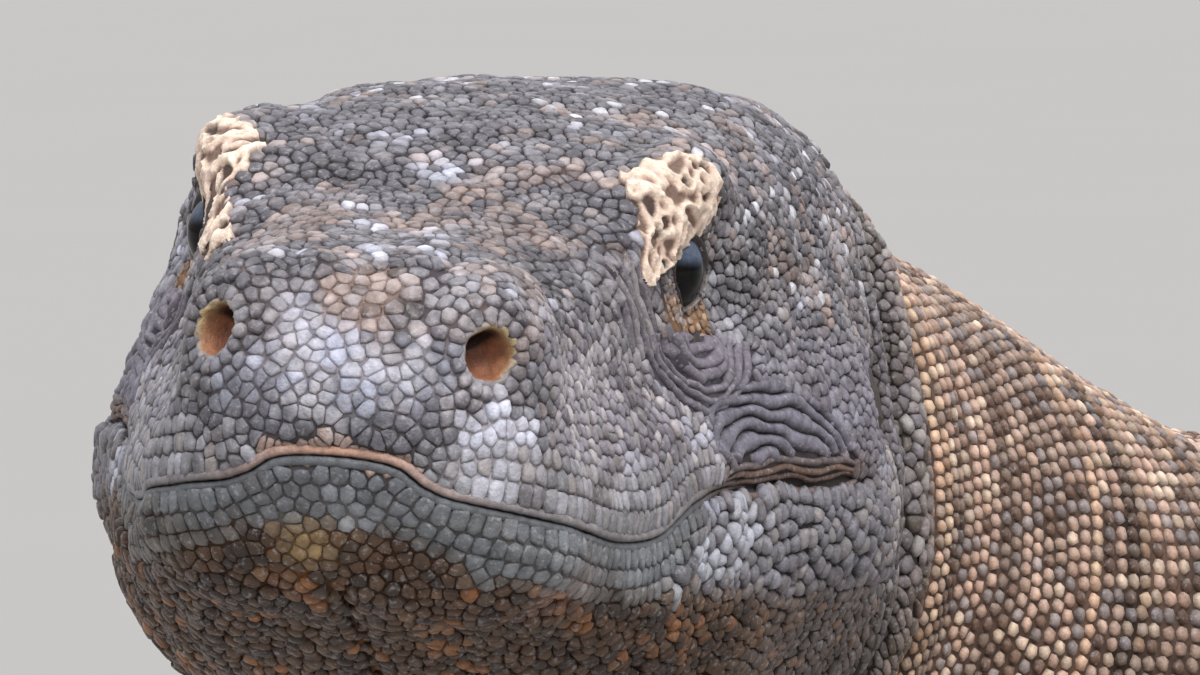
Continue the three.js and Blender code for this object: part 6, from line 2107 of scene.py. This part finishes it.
# ---- eyes
for side in (1, -1):
    name = "left" if side > 0 else "right"
    axis, back, up = eye_basis(side)
    centre = EYE_AT * [side, 1, 1]
    # rings round the gaze, so that iris and pupil are rings of the mesh too
    th = np.radians(np.concatenate([np.linspace(0, 60, 61), np.linspace(63, 177, 39)]))
    ph = np.linspace(0, 2 * np.pi, 72, endpoint=False)
    dirs = (axis * np.cos(th)[:, None, None] + (back * np.cos(ph)[None, :, None] + up * np.sin(ph)[None, :, None]) * np.sin(th)[:, None, None])
    bulge = 0.35 * np.exp(-(np.degrees(th) / 26) ** 2)
    vv = centre + dirs * (EYE_RADIUS - 0.05 + bulge)[:, None, None]
    rows_ = len(th)
    vv = np.concatenate([vv.reshape(-1, 3), (centre - axis * EYE_RADIUS)[None]])
    ff = np.concatenate([grid_faces(rows_, 72), np.stack([np.full(72, rows_ * 72), (rows_ - 1) * 72 + np.arange(72), (rows_ - 1) * 72 + (np.arange(72) + 1) % 72], 1)])
    w = head_world(vv)
    ff = outward(w - w.mean(0), ff)
    o = make_mesh(f"eyeball_{name}", w, ff)
    deg = np.degrees(np.repeat(th, 72))
    angle = np.tile(ph, rows_)
    streak = 0.5 + 0.5 * np.sin(angle * 37 + 3 * np.sin(angle * 5)) * np.sin(angle * 13 + 1)
    iris = np.array([0.0060, 0.0048, 0.0046])[None] * (0.6 + 0.7 * streak[:, None])
    dark = np.array([0.002, 0.002, 0.0025])
    white = np.array([0.012, 0.008, 0.006])
    pup = ramp(deg, 14.5, 16.5)[:, None]
    lim_ = ramp(deg, 31, 35)[:, None]
    col = dark * (1 - pup) + iris * pup
    col = col * (1 - lim_) + white * lim_
    # painted reflection of the sky: blue-grey over the upper part
    high_part = (np.cos(th)[:, None] * 0 + np.sin(ph)[None] * np.sin(th)[:, None]).ravel()
    sky_reflection = (ramp(high_part, 0.06, 0.34) * (1 - ramp(deg, 38, 48)))[:, None]
    col = col * (1 - sky_reflection) + np.array([0.075, 0.098, 0.145]) * sky_reflection
    col = np.concatenate([col, [white]])
    colour_layer(o, col)
    m, nt, bsdf = new_material(f"eye_{name}")
    at = nt.nodes.new("ShaderNodeAttribute")
    at.attribute_name = "hue"
    coords = nt.nodes.new("ShaderNodeTexCoord").outputs["Object"]
    nz = noise_node(nt, coords, 900.0, 3.0)
    sc = spread_node(nt, nz.outputs["Fac"], 0.3, 0.7, 0.7, 1.3)
    mx = nt.nodes.new("ShaderNodeVectorMath")
    mx.operation = "SCALE"
    nt.links.new(at.outputs["Color"], mx.inputs[0])
    nt.links.new(sc.outputs[0], mx.inputs["Scale"])
    nt.links.new(mx.outputs[0], bsdf.inputs["Base Color"])
    rr = spread_node(nt, nz.outputs["Fac"], 0.3, 0.7, 0.03, 0.06)
    nt.links.new(rr.outputs[0], bsdf.inputs["Roughness"])
    bsdf.inputs["Specular IOR Level"].default_value = 0.12
    finish_piece(o, m, "eye", f"eye_{name}")
    # lids
    w, f, t, phi = lids[side]
    o = make_mesh(f"lid_{name}", w, f)
    base_c = np.array(linear([104, 92, 88]))
    rim_c = np.array(linear([46, 38, 36]))
    col = rim_c[None] * (1 - ramp(t, 0.02, 0.22))[:, None] + base_c[None] * ramp(t, 0.02, 0.22)[:, None] * 0.55
    warm = (np.sin(phi) < -0.30) & (t > 0.34)
    col[warm] = linear([170, 124, 84]) * 0.7
    pale = np.exp(-((t - 0.13) / 0.09) ** 2) * ramp(-np.sin(phi), -0.35, 0.2) * ramp(np.cos(phi), -0.5, 0.3)
    col = col + (linear([188, 180, 178]) - col) * (0.75 * pale)[:, None]
    colour_layer(o, col)
    finish_piece(o, mat_lid, "head_hide")
told("eyes")


# ---- bare wrinkled brows
def brow_patch(side):
    """The wrinkled bare skin over and before the eye, laid on the skin."""
    step = 0.42
    s0, s1 = (76, 126) if side > 0 else (58, 126)
    us_ = np.arange(0.045, 0.250, step / 420.0)
    ss_ = np.arange(s0, s1, step)
    S_, U_ = np.repeat(ss_, len(us_)), np.tile(us_, len(ss_))
    if side < 0:
        U_ = 1 - U_
    q, w = surface(S_, U_)       # not sunk into the eye's socket: it hangs over the top of the eye
    hp = head_local(w)
    field = brow_field(hp)
    n_ = vertex_normals(w, grid_faces(len(ss_), len(us_), closed=False))
    if dots(n_, w - head_world([0, 105, 20])).sum() < 0:
        n_ = -n_
    m = np.stack([np.abs(hp[:, 0]), hp[:, 1], hp[:, 2]], 1)
    warp = np.stack([wobble(m + 5, 5, 1), wobble(m + 60, 5, 1), wobble(m + 120, 5, 1)], 1)
    worm = 1 - np.abs(wobble(m + 1.5 * warp, 3.6, 2)) * 2.3           # winding ridges
    pits = ramp(wobble(m + 300, 2.8, 1), 0.40, 0.72)
    lumps = wobble(m + 77, 7, 1)
    tall = 0.95 + 0.66 * np.clip(worm, -1.0, 1) - 1.3 * pits + 0.35 * lumps
    base = np.zeros(len(w))
    for k in np.where(field > 0.02)[0].tolist():
        hit = skin_tree.ray_cast((w[k] + n_[k] * 9).tolist(), (-n_[k]).tolist(), 12)
        if hit[0] is not None:
            base[k] = max(0.0, 9 - hit[3])
    grid_ = base.reshape(len(ss_), len(us_))
    for _ in range(6):
        pad_ = np.pad(grid_, 1, mode="edge")
        grid_ = np.maximum(grid_, (pad_[:-2, 1:-1] + pad_[2:, 1:-1] + pad_[1:-1, :-2] + pad_[1:-1, 2:]) / 4)
    base = grid_.ravel()
    tall = np.maximum(tall, 0.22)
    rise = -2.2 + (tall + 2.2) * ramp(field, 0.06, 0.60) + base * ramp(field, 0.06, 0.60)
    w = w + n_ * rise[:, None]
    keep = field.reshape(len(ss_), len(us_)) > 0.04
    f = grid_faces(len(ss_), len(us_), closed=False)
    f = f[keep.ravel()[f].all(1)]
    if dots(np.cross(w[f[:, 1]] - w[f[:, 0]], w[f[:, 2]] - w[f[:, 0]]), n_[f[:, 0]]).sum() < 0:
        f = f[:, ::-1]
    used = np.unique(f)
    remap = np.full(len(w), -1)
    remap[used] = np.arange(len(used))
    cream, pit = linear([245, 224, 204]), linear([76, 56, 46])
    pink = linear([214, 176, 156])
    t = np.clip(0.5 + 0.6 * worm, 0, 1)[:, None]
    col = pink * (1 - t) + cream * t
    dark = np.clip(pits + ramp(-worm, 0.1, 0.7) * 0.8, 0, 1)[:, None]
    col = col * (1 - dark) + pit * dark
    edge = (1 - ramp(field, 0.3, 0.8))[:, None]
    col = col * (1 - 0.6 * edge) + linear([120, 100, 90]) * 0.6 * edge
    return w[used], remap[f], col[used]


for side in (1, -1):
    w, f, col = brow_patch(side)
    o = make_mesh(f"brow_{'left' if side > 0 else 'right'}", w, f)
    colour_layer(o, col)
    finish_piece(o, mat_bare, "head_hide")
told("brows")

# ---- nostrils
for side in (1, -1):
    a, across, upn = nose_basis(side)
    centre = nose_centre[side]
    around = 96
    ph = np.linspace(0, 2 * np.pi, around, endpoint=False)
    shape = 1 + 0.05 * np.sin(2 * ph + 0.6) + 0.03 * np.sin(5 * ph + 1)
    W = head_world(centre)[0]
    axes = np.stack([H_L, H_B, H_U])
    rad_x, rad_y = 5.2, 5.5
    prof = [(1.55, -1.7, 0), (1.38, -0.9, 0), (1.24, -0.05, 0), (1.12, 0.4, 0), (1.02, 0.35, 0), (0.95, -0.2, 0), (0.90, -1.2, 1), (0.86, -2.4, 1),
            (0.80, -3.8, 1), (0.72, -5.2, 1), (0.58, -6.6, 1), (0.40, -7.6, 1), (0.20, -8.2, 1), (0.04, -8.4, 1)]
    # where the skin lies round the opening, along the nostril's axis
    lift = []
    for share in (1.55, 1.38, 1.24):
        row = []
        for p_ in ph:
            c_ = centre + across * math.cos(p_) * rad_x * share + upn * math.sin(p_) * rad_y * share
            start = head_world(c_ + a * 20)[0]
            hit = skin_tree.ray_cast(start.tolist(), (-(a @ axes)).tolist(), 40)
            row.append(20 - hit[3] if hit[0] is not None else 0.0)
        row = np.array(row)
        row = np.convolve(np.r_[row[-6:], row, row[:6]], np.ones(13) / 13, "valid")
        lift.append(row)
    vv, cc = [], []
    for i, (share, level, inner) in enumerate(prof):
        fall = lift[0] if i == 0 else lift[1] if i == 1 else lift[2] if i == 2 else lift[2] * (1 - 0.25 * min(1, (i - 2) / 4))
        if inner:
            fall = fall * 0 + lift[2].mean() * (1 - 0.4) + (lift[2] - lift[2].mean()) * 0.5 * max(0, 1 - (i - 6) / 4)
        lv = level + 0.25 * np.sin(ph * 9 + i) * (0.2 < share < 1.4) * (0 if inner else 1)
        rr = share * shape
        drift = -0.16 * (0.9 - share) * rad_x * 3 if inner else 0
        c_ = centre + across * (np.cos(ph) * rad_x * rr)[:, None] + upn * (np.sin(ph) * rad_y * rr)[:, None] + a * (fall + lv)[:, None]
        c_ = c_ + across * side * drift * 0.75 - upn * drift * 0.55       # it runs in towards the middle and up
        vv.append(c_)
        up_ = 0.5 + 0.5 * np.sin(ph)
        outw = 0.5 + 0.5 * np.cos(ph) * side
        grey, tan_, orange, nostril_shadow = linear([142, 138, 144]), linear([188, 164, 120]), linear([184, 122, 92]), linear([34, 22, 18])
        if i <= 2:
            col = np.tile(grey * 0.8, (around, 1))
        elif i <= 5:
            k = (np.clip(0.08 + 1.25 * up_ * outw, 0, 1) * min(1, (i - 2) / 2))[:, None]
            col = grey * (1 - k) + tan_ * k
        else:
            # painted shadow inside the nostril: darker with depth, near-black towards the middle and up
            depth = (i - 6) / 7
            inward = np.clip(0.5 + 0.5 * (-0.72 * np.cos(ph) * side + 0.70 * np.sin(ph)), 0, 1)      # 1 towards the middle and up
            k = np.clip(0.05 + 1.15 * ramp(inward, 0.32, 0.76) * ramp(depth, -0.1, 0.30) + 0.55 * ramp(depth, 0.5, 1.0) * ramp(inward, 0.1, 0.6), 0, 1)[:, None]
            floor_ = orange * (1 - 0.35 * depth)
            ent = (np.clip(1 - depth * 2.2, 0, 1) * (0.2 + 0.8 * up_ * outw))[:, None]
            floor_ = floor_ * (1 - ent) + tan_ * 0.8 * ent
            col = floor_ * (1 - k) + nostril_shadow * 0.35 * k
        cc.append(col)
    vv, cc = np.concatenate(vv), np.concatenate(cc)
    w = head_world(vv)
    f = grid_faces(len(prof), around)
    fnn = np.cross(w[f[:, 1]] - w[f[:, 0]], w[f[:, 2]] - w[f[:, 0]])
    if dots(fnn[:around], np.tile(a @ axes, (around, 1))).sum() < 0:
        f = f[:, ::-1]
    o = make_mesh(f"nostril_{'left' if side > 0 else 'right'}", w, f)
    colour_layer(o, cc)
    finish_piece(o, mat_nose, "head_hide")
told("nostrils")


# ---- lips: two smooth rolls that meet at the mouth line
def lip_roll(offset, radius, flat, colours, name, sink):
    keep = mouth_d < 146
    c0 = mouth[keep]
    t_, n_, up_ = mt[keep], mouth_n[keep], mouth_up[keep]
    d_ = mouth_d[keep]
    c0 = c0[::2]
    t_, n_, up_, d_ = t_[::2], n_[::2], up_[::2], d_[::2]
    # the mouth line lies at the level of the skin beside its groove
    fade = 1 - ramp(d_, 84, 116) * 0.42
    end = ramp(-d_, -146, -118)
    r_ = radius * fade * (0.35 + 0.65 * end)
    c = c0 + up_ * (offset * fade * (0.35 + 0.65 * end))[:, None] - n_ * (sink + 0.5 * ramp(d_, 96, 130) + 1.0 * (1 - end))[:, None]
    around = 14
    a_ = np.linspace(0, 2 * np.pi, around, endpoint=False)
    length = np.r_[0, np.cumsum(np.linalg.norm(np.diff(c, axis=0), axis=1))]
    seg = 1 + 0.05 * np.sin(length / 3.4 * 2 * np.pi) + 0.06 * wobble(c, 6, 1)
    v_ = c[:, None] + (np.cos(a_)[None] * (r_ * seg)[:, None])[..., None] * up_[:, None] + (np.sin(a_)[None] * (r_ * seg * flat)[:, None])[..., None] * n_[:, None]
    verts = np.concatenate([v_.reshape(-1, 3), c[:1], c[-1:]])
    m_ = len(c)
    j = np.arange(around)
    k = (j + 1) % around
    f = np.concatenate([grid_faces(m_, around), np.stack([np.full(around, m_ * around), k, j], 1),
                        np.stack([np.full(around, m_ * around + 1), (m_ - 1) * around + j, (m_ - 1) * around + k], 1)])
    f = outward(verts - verts.mean(0), f)
    x_ = head_local(c)[:, 0]
    col = colours(d_, x_, c)
    # painted shade where the two meet
    dark = (0.12 + 0.88 * ramp(np.sin(a_) + 0.55 * np.sign(offset) * np.cos(a_), -0.1, 0.8))[None, :, None]
    cols = (np.repeat(col[:, None], around, 1) * dark).reshape(-1, 3)
    cols = np.concatenate([cols, col[:1], col[-1:]])
    o = make_mesh(name, verts, f)
    colour_layer(o, cols)
    finish_piece(o, mat_lip, "head_hide")


def fold_strips(side, name):
    """Smooth long folds: arches over the corner of the mouth, half-rounds under the eye, and the crease behind the mouth."""
    lines = []            # edges (distance, height) of each fold, its height, how much painted shade darkens its edges, its colour
    th = np.linspace(0.02, np.pi - 0.02, 130)
    rr = np.arange(0, 29, 0.1)
    dd = CHEEK_AT[0] + CHEEK_AT[2] * rr[None] * np.cos(th)[:, None]
    zz = CHEEK_AT[1] + rr[None] * np.sin(th)[:, None]
    ph = np.maximum.accumulate(cheek_arcs(np.full(dd.shape, 60.0), dd, zz)[0], axis=1)

    def level(k):
        r = np.array([np.interp(k, ph[i], rr) for i in range(len(th))])
        return np.stack([CHEEK_AT[0] + CHEEK_AT[2] * r * np.cos(th), CHEEK_AT[1] + r * np.sin(th)], 1)
    for k in range(1, 9):
        lines.append((level(k), level(k + 1), 1.75 - 0.08 * k, 0.16, [116, 110, 123], cheek_arcs))
    th = np.linspace(-np.pi + 0.1, -0.1, 90)
    for r0, r1, tall_, edge_shade in ((3.0, 5.0, 0.75, 0.5), (5.0, 7.2, 0.80, 0.5), (7.2, 9.5, 0.85, 0.5), (9.5, 12.1, 0.95, 0.45),
                                 (12.7, 14.4, 1.25, 0.14), (14.4, 16.2, 1.2, 0.16), (16.2, 18.2, 1.05, 0.2)):
        def circle(r):
            r = r + 0.25 * np.sin(th * 5 + r0) + 0.15 * np.sin(th * 11 + r0 * 2)
            return np.stack([EYE_FOLDS_AT[0] + EYE_FOLDS_AT[2] * r * np.cos(th), EYE_FOLDS_AT[1] + r * np.sin(th)], 1)
        lines.append((circle(r0), circle(r1), tall_, edge_shade, [118, 110, 121], eye_arcs))
    d_ = np.linspace(103, 173, 84)
    for a_, b_, tall_, tint_ in ((0.5, 2.0, 1.0, [94, 68, 56]), (2.0, 3.7, 1.1, [112, 84, 70]), (3.7, 5.5, 1.15, [104, 88, 88]), (-2.2, -0.5, 0.9, [110, 92, 86])):
        wave_ = 0.25 * np.sin(d_ / 3.1 + a_) + 0.18 * np.sin(d_ / 1.7 + 2 * a_)
        close_ = 0.35 + 0.65 * ramp(d_, 103, 116) * ramp(-d_, -173, -156)
        lines.append((np.stack([d_, rictus(d_) + (a_ + wave_) * close_], 1), np.stack([d_, rictus(d_) + (b_ + wave_) * close_], 1), tall_, 0.2, tint_, None))
    if side > 0:          # slanting wrinkles before the eye
        z_ = np.linspace(44.5, 21.5, 26)
        for k in range(5):
            v_ = 3.1 * (k + 0.12 * np.sin(z_ / 2.3 + k) + np.array([[0.0], [1.0]])) + 81.9 - 0.36 * z_
            lines.append((np.stack([v_[0], z_], 1), np.stack([v_[1], z_], 1), (0.75, 0.95, 0.8, 0.95, 0.85)[k], 0.35,
                          ([124, 117, 125], [140, 132, 136], [114, 107, 113], [146, 137, 138], [118, 109, 115])[k], "lore"))
    V, F, C = [], [], []
    count = 0
    t = np.array([-1, -0.78, -0.42, 0, 0.42, 0.78, 1.0])
    way = (-H_L * side).tolist()
    rs = np.random.RandomState(31 if side > 0 else 47)
    for lo_, hi_, tall_, edge_shade, tint_, field_ in lines:
        mid_ = (lo_ + hi_) / 2
        if field_ == "lore":
            st = ramp(mid_[:, 1], 22, 25.5) * ramp(-mid_[:, 1], -44, -40)
        elif field_ is not None:
            st = field_(np.full(len(mid_), 60.0), mid_[:, 0], mid_[:, 1])[1]
        else:
            st = ramp(mid_[:, 0], 103, 108) * ramp(-mid_[:, 0], -173, -164)
        hits = []
        for q2 in (lo_, hi_):
            start = head_world(np.stack([np.full(len(q2), 130.0 * side), q2[:, 0], q2[:, 1]], 1))
            got_ = [skin_tree.ray_cast(q.tolist(), way, 128)[0] for q in start]
            hits.append(np.array([list(g) if g is not None else [np.nan] * 3 for g in got_]))
        lo_w, hi_w = hits
        ok_ = ~np.isnan(lo_w[:, 0]) & ~np.isnan(hi_w[:, 0]) & (st > 0.12)
        idx = np.where(ok_)[0]
        if len(idx) < 6:
            continue
        for run in np.split(idx, np.where(np.diff(idx) > 1)[0] + 1):
            if len(run) < 6:
                continue
            lo3, hi3, s_ = lo_w[run], hi_w[run], st[run]
            kk = np.ones(5) / 5
            lo3, hi3 = (np.stack([np.convolve(np.pad(q[:, a], 2, mode="edge"), kk, "valid") for a in range(3)], 1) for q in (lo3, hi3))
            mid3 = (lo3 + hi3) / 2
            _, nn, _, _ = on_skin(mid3)
            nn = unit(np.stack([np.convolve(np.pad(nn[:, a], 4, mode="edge"), np.ones(9) / 9, "valid") for a in range(3)], 1))
            wide = np.linalg.norm(hi3 - lo3, axis=1)
            rise = (0.45 + tall_ * np.minimum(1, wide / 2.2)) * ramp(s_, 0.1, 0.6) * (1 + 0.22 * wobble(mid3, 3.5, 1))
            # short cross lines part the fold into plates
            step_ = np.r_[0, np.cumsum(np.linalg.norm(np.diff(mid3, axis=0), axis=1))]
            cut = np.zeros(len(run))
            at_ = rs.uniform(0, 3)
            while at_ < step_[-1]:
                cut[np.argmin(np.abs(step_ - at_))] = rs.uniform(0.0, 1.0)
                at_ += rs.uniform(2.4, 5.2)
            p_ = lo3[:, None] * ((1 - t) / 2)[None, :, None] + hi3[:, None] * ((1 + t) / 2)[None, :, None]
            up_ = rise[:, None] * (np.sqrt(np.clip(1 - np.abs(t) ** 2.4, 0, 1)) - 0.16 * cut[:, None]) - 0.55 - 0.8 * (1 - ramp(s_, 0.1, 0.5))[:, None]
            p_ = p_ + up_[..., None] * nn[:, None]
            # painted shade: each fold darkens towards its edges and at its cross cuts
            crease_shade = edge_shade + (1 - edge_shade) * (1 - np.abs(t) ** 3)
            c_ = linear(tint_) * crease_shade[None, :, None] * (1 + 0.16 * wobble(p_.reshape(-1, 3) + 60, 5, 2)).reshape(len(run), 7, 1) * (1 - 0.30 * cut)[:, None, None]
            f_ = grid_faces(len(run), 7, count, closed=False)
            V.append(p_.reshape(-1, 3))
            C.append(c_.reshape(-1, 3))
            q0 = V[-1][f_ - count]
            if dots(np.cross(q0[:, 1] - q0[:, 0], q0[:, 2] - q0[:, 0]), np.repeat(nn, 7, 0)[f_[:, 0] - count]).sum() < 0:
                f_ = f_[:, ::-1]
            F.append(f_)
            count += len(run) * 7
    o = make_mesh(name, np.concatenate(V), np.concatenate(F))
    colour_layer(o, np.clip(np.concatenate(C), 0, 1))
    finish_piece(o, mat_scale, "head_hide")
    return sum(len(f_) for f_ in F)


told(f"folds {[fold_strips(s_, n_) for s_, n_ in ((1, 'folds_left'), (-1, 'folds_right'))]} triangles")


def upper_hues(d_, x_, c):
    pink, grey, brown = linear([190, 148, 128]), linear([134, 128, 130]), linear([96, 74, 62])
    k = (np.exp(-(x_ / 17) ** 2) * ramp(-d_, -24, -8))[:, None]
    col = grey * (1 - k) + pink * k
    b_ = (0.85 * ramp(d_, 78, 104))[:, None]
    col = col * (1 - b_) + brown * 0.7 * b_
    return col * (1 + 0.18 * wobble(c, 5, 2))[:, None]


def lower_hues(d_, x_, c):
    grey, brown = linear([104, 106, 110]), linear([88, 68, 58])
    b_ = (0.85 * ramp(d_, 78, 104))[:, None]
    col = grey * (1 - b_) + brown * 0.6 * b_
    return col * (1 + 0.15 * wobble(c, 5, 2))[:, None]


lip_roll(0.98, 1.04, 0.95, upper_hues, "lip_upper", 0.50)
lip_roll(-1.02, 1.05, 0.90, lower_hues, "lip_lower", 0.85)
told("lips")

# ---- claws
for name, L in LEG_PLACES.items():
    for i, toe in enumerate(L["toes"]):
        r, length, along = toe["r"], toe["length"], toe["along"]
        c = L["leg"]["claw"]
        end = toe["path"].tangent(1.0)[0]
        start = toe["path"].at(1.0)[0]
        path = Path([start - end * 3.5, start + end * 1.5, along(length + c * 0.42, r + 1.2), along(length + c * 0.72, r * 0.62), along(length + c * 0.93, 1.5)])
        sizes = [[r * 0.42, r * 0.52], [r * 0.44, r * 0.56], [r * 0.32, r * 0.46], [r * 0.2, r * 0.32], [0.35, 0.5]]
        v_, t_ = tube(path, sizes, 16, 34, (False, True), 1.0, 0.0)
        v_[:, 2] = np.maximum(v_[:, 2], 0.4)
        o = make_mesh(f"horn_{name}_{i + 1}", v_, t_)
        far = np.clip(dots(v_ - start, np.tile(unit(path.at(1.0)[0] - start), (len(v_), 1))) / (c * 0.9), 0, 1)
        base_c, tip_c = linear([70, 60, 52]), linear([30, 26, 24])
        lines_ = 1 + 0.16 * np.sin(far * 46 + 2 * wobble(v_, 6, 1))
        col = (base_c * (1 - far[:, None]) + tip_c * far[:, None]) * lines_[:, None]
        colour_layer(o, col)
        finish_piece(o, mat_claw, "claw", f"claw_{name}_{i + 1}")
told("claws")

# ---- eardrums stay as the solids, with a dull skin
m, nt, bsdf = new_material("eardrum_skin")
coords = nt.nodes.new("ShaderNodeTexCoord").outputs["Object"]
nz = noise_node(nt, coords, 300.0, 4.0)
rp = nt.nodes.new("ShaderNodeValToRGB")
rp.color_ramp.elements[0].color = (0.018, 0.012, 0.010, 1)
rp.color_ramp.elements[1].color = (0.075, 0.052, 0.042, 1)
nt.links.new(nz.outputs["Fac"], rp.inputs[0])
nt.links.new(rp.outputs[0], bsdf.inputs["Base Color"])
rr = spread_node(nt, nz.outputs["Fac"], 0.3, 0.7, 0.45, 0.65)
nt.links.new(rr.outputs[0], bsdf.inputs["Roughness"])
bp = nt.nodes.new("ShaderNodeBump")
bp.inputs["Strength"].default_value = 0.4
bp.inputs["Distance"].default_value = 0.0005
nt.links.new(nz.outputs["Fac"], bp.inputs["Height"])
nt.links.new(bp.outputs[0], bsdf.inputs["Normal"])
for name in ("ear_left", "ear_right"):
    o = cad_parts[name]
    o.data.materials.clear()
    o.data.materials.append(m)

# ====================================================== floor, light and camera
floor = make_mesh("floor", np.array([[-300000, -300000, 0], [300000, -300000, 0], [300000, 300000, 0], [-300000, 300000, 0]], float), np.array([[0, 1, 2], [0, 2, 3]]))
m, nt, bsdf = new_material("floor_paper")
coords = nt.nodes.new("ShaderNodeTexCoord").outputs["Object"]
nz = noise_node(nt, coords, 3.0, 2.0)
sc = spread_node(nt, nz.outputs["Fac"], 0.3, 0.7, 0.995, 1.005)
mx = nt.nodes.new("ShaderNodeVectorMath")
mx.operation = "SCALE"
mx.inputs[0].default_value = (0.36, 0.345, 0.33)
nt.links.new(sc.outputs[0], mx.inputs["Scale"])
nt.links.new(mx.outputs[0], bsdf.inputs["Base Color"])
bsdf.inputs["Roughness"].default_value = 0.9
bsdf.inputs["Specular IOR Level"].default_value = 0.1
floor.data.materials.append(m)
floor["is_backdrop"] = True

world = bpy.data.worlds.new("soft_light")
bpy.context.scene.world = world
world.use_nodes = True
nt = world.node_tree
bg = nt.nodes["Background"]
tc = nt.nodes.new("ShaderNodeTexCoord")
sep = nt.nodes.new("ShaderNodeSeparateXYZ")
nt.links.new(tc.outputs["Generated"], sep.inputs[0])
rp = nt.nodes.new("ShaderNodeValToRGB")
rp.color_ramp.elements[0].position = 0.0
rp.color_ramp.elements[0].color = (0.30, 0.29, 0.28, 1)
rp.color_ramp.elements[1].position = 1.0
rp.color_ramp.elements[1].color = (1.60, 1.65, 1.76, 1)
e = rp.color_ramp.elements.new(0.5)
e.color = (0.34, 0.33, 0.32, 1)
e = rp.color_ramp.elements.new(0.62)
e.color = (0.66, 0.66, 0.68, 1)
e = rp.color_ramp.elements.new(0.72)
e.color = (1.20, 1.24, 1.30, 1)
mr = spread_node(nt, sep.outputs["Z"], -1.0, 1.0, 0.0, 1.0)
nt.links.new(mr.outputs[0], rp.inputs[0])
nt.links.new(rp.outputs[0], bg.inputs["Color"])
bg.inputs["Strength"].default_value = 0.85


def sun(name, azimuth, elevation, power, angle, colour=(1, 1, 1)):
    light = bpy.data.lights.new(name, "SUN")
    light.energy = power
    light.angle = math.radians(angle)
    light.color = colour
    o = bpy.data.objects.new(name, light)
    bpy.context.scene.collection.objects.link(o)
    a, e_ = math.radians(azimuth), math.radians(elevation)
    to = Vector((math.sin(a) * math.cos(e_), -math.cos(a) * math.cos(e_), math.sin(e_)))
    o.rotation_euler = to.to_track_quat("Z", "Y").to_euler()
    return o


sun("sky_key", 52, 54, 1.9, 24, (1.0, 0.99, 0.97))

cam_data = bpy.data.cameras.new("camera")
cam = bpy.data.objects.new("camera", cam_data)
bpy.context.scene.collection.objects.link(cam)
mouth_front = np.array([-ORIGIN[0], -ORIGIN[1], MOUTH_HEIGHT])
cam.location = Vector(((mouth_front + [962.7, -1570.0, 183.7]) * 0.001).tolist())
look = Vector((-0.4981, 0.8627, -0.0872))
cam.rotation_euler = look.to_track_quat("-Z", "Y").to_euler()
cam_data.lens = 300
cam_data.sensor_width = 36
cam_data.clip_end = 200
bpy.context.scene.camera = cam
bpy.context.scene.view_settings.view_transform = "Standard"
bpy.context.scene.view_settings.look = "None"

low, high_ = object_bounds()
told(f"cad {[round(x, 4) for x in CAD_LOW]} {[round(x, 4) for x in CAD_HIGH]} visual {[round(x, 4) for x in low]} {[round(x, 4) for x in high_]}")
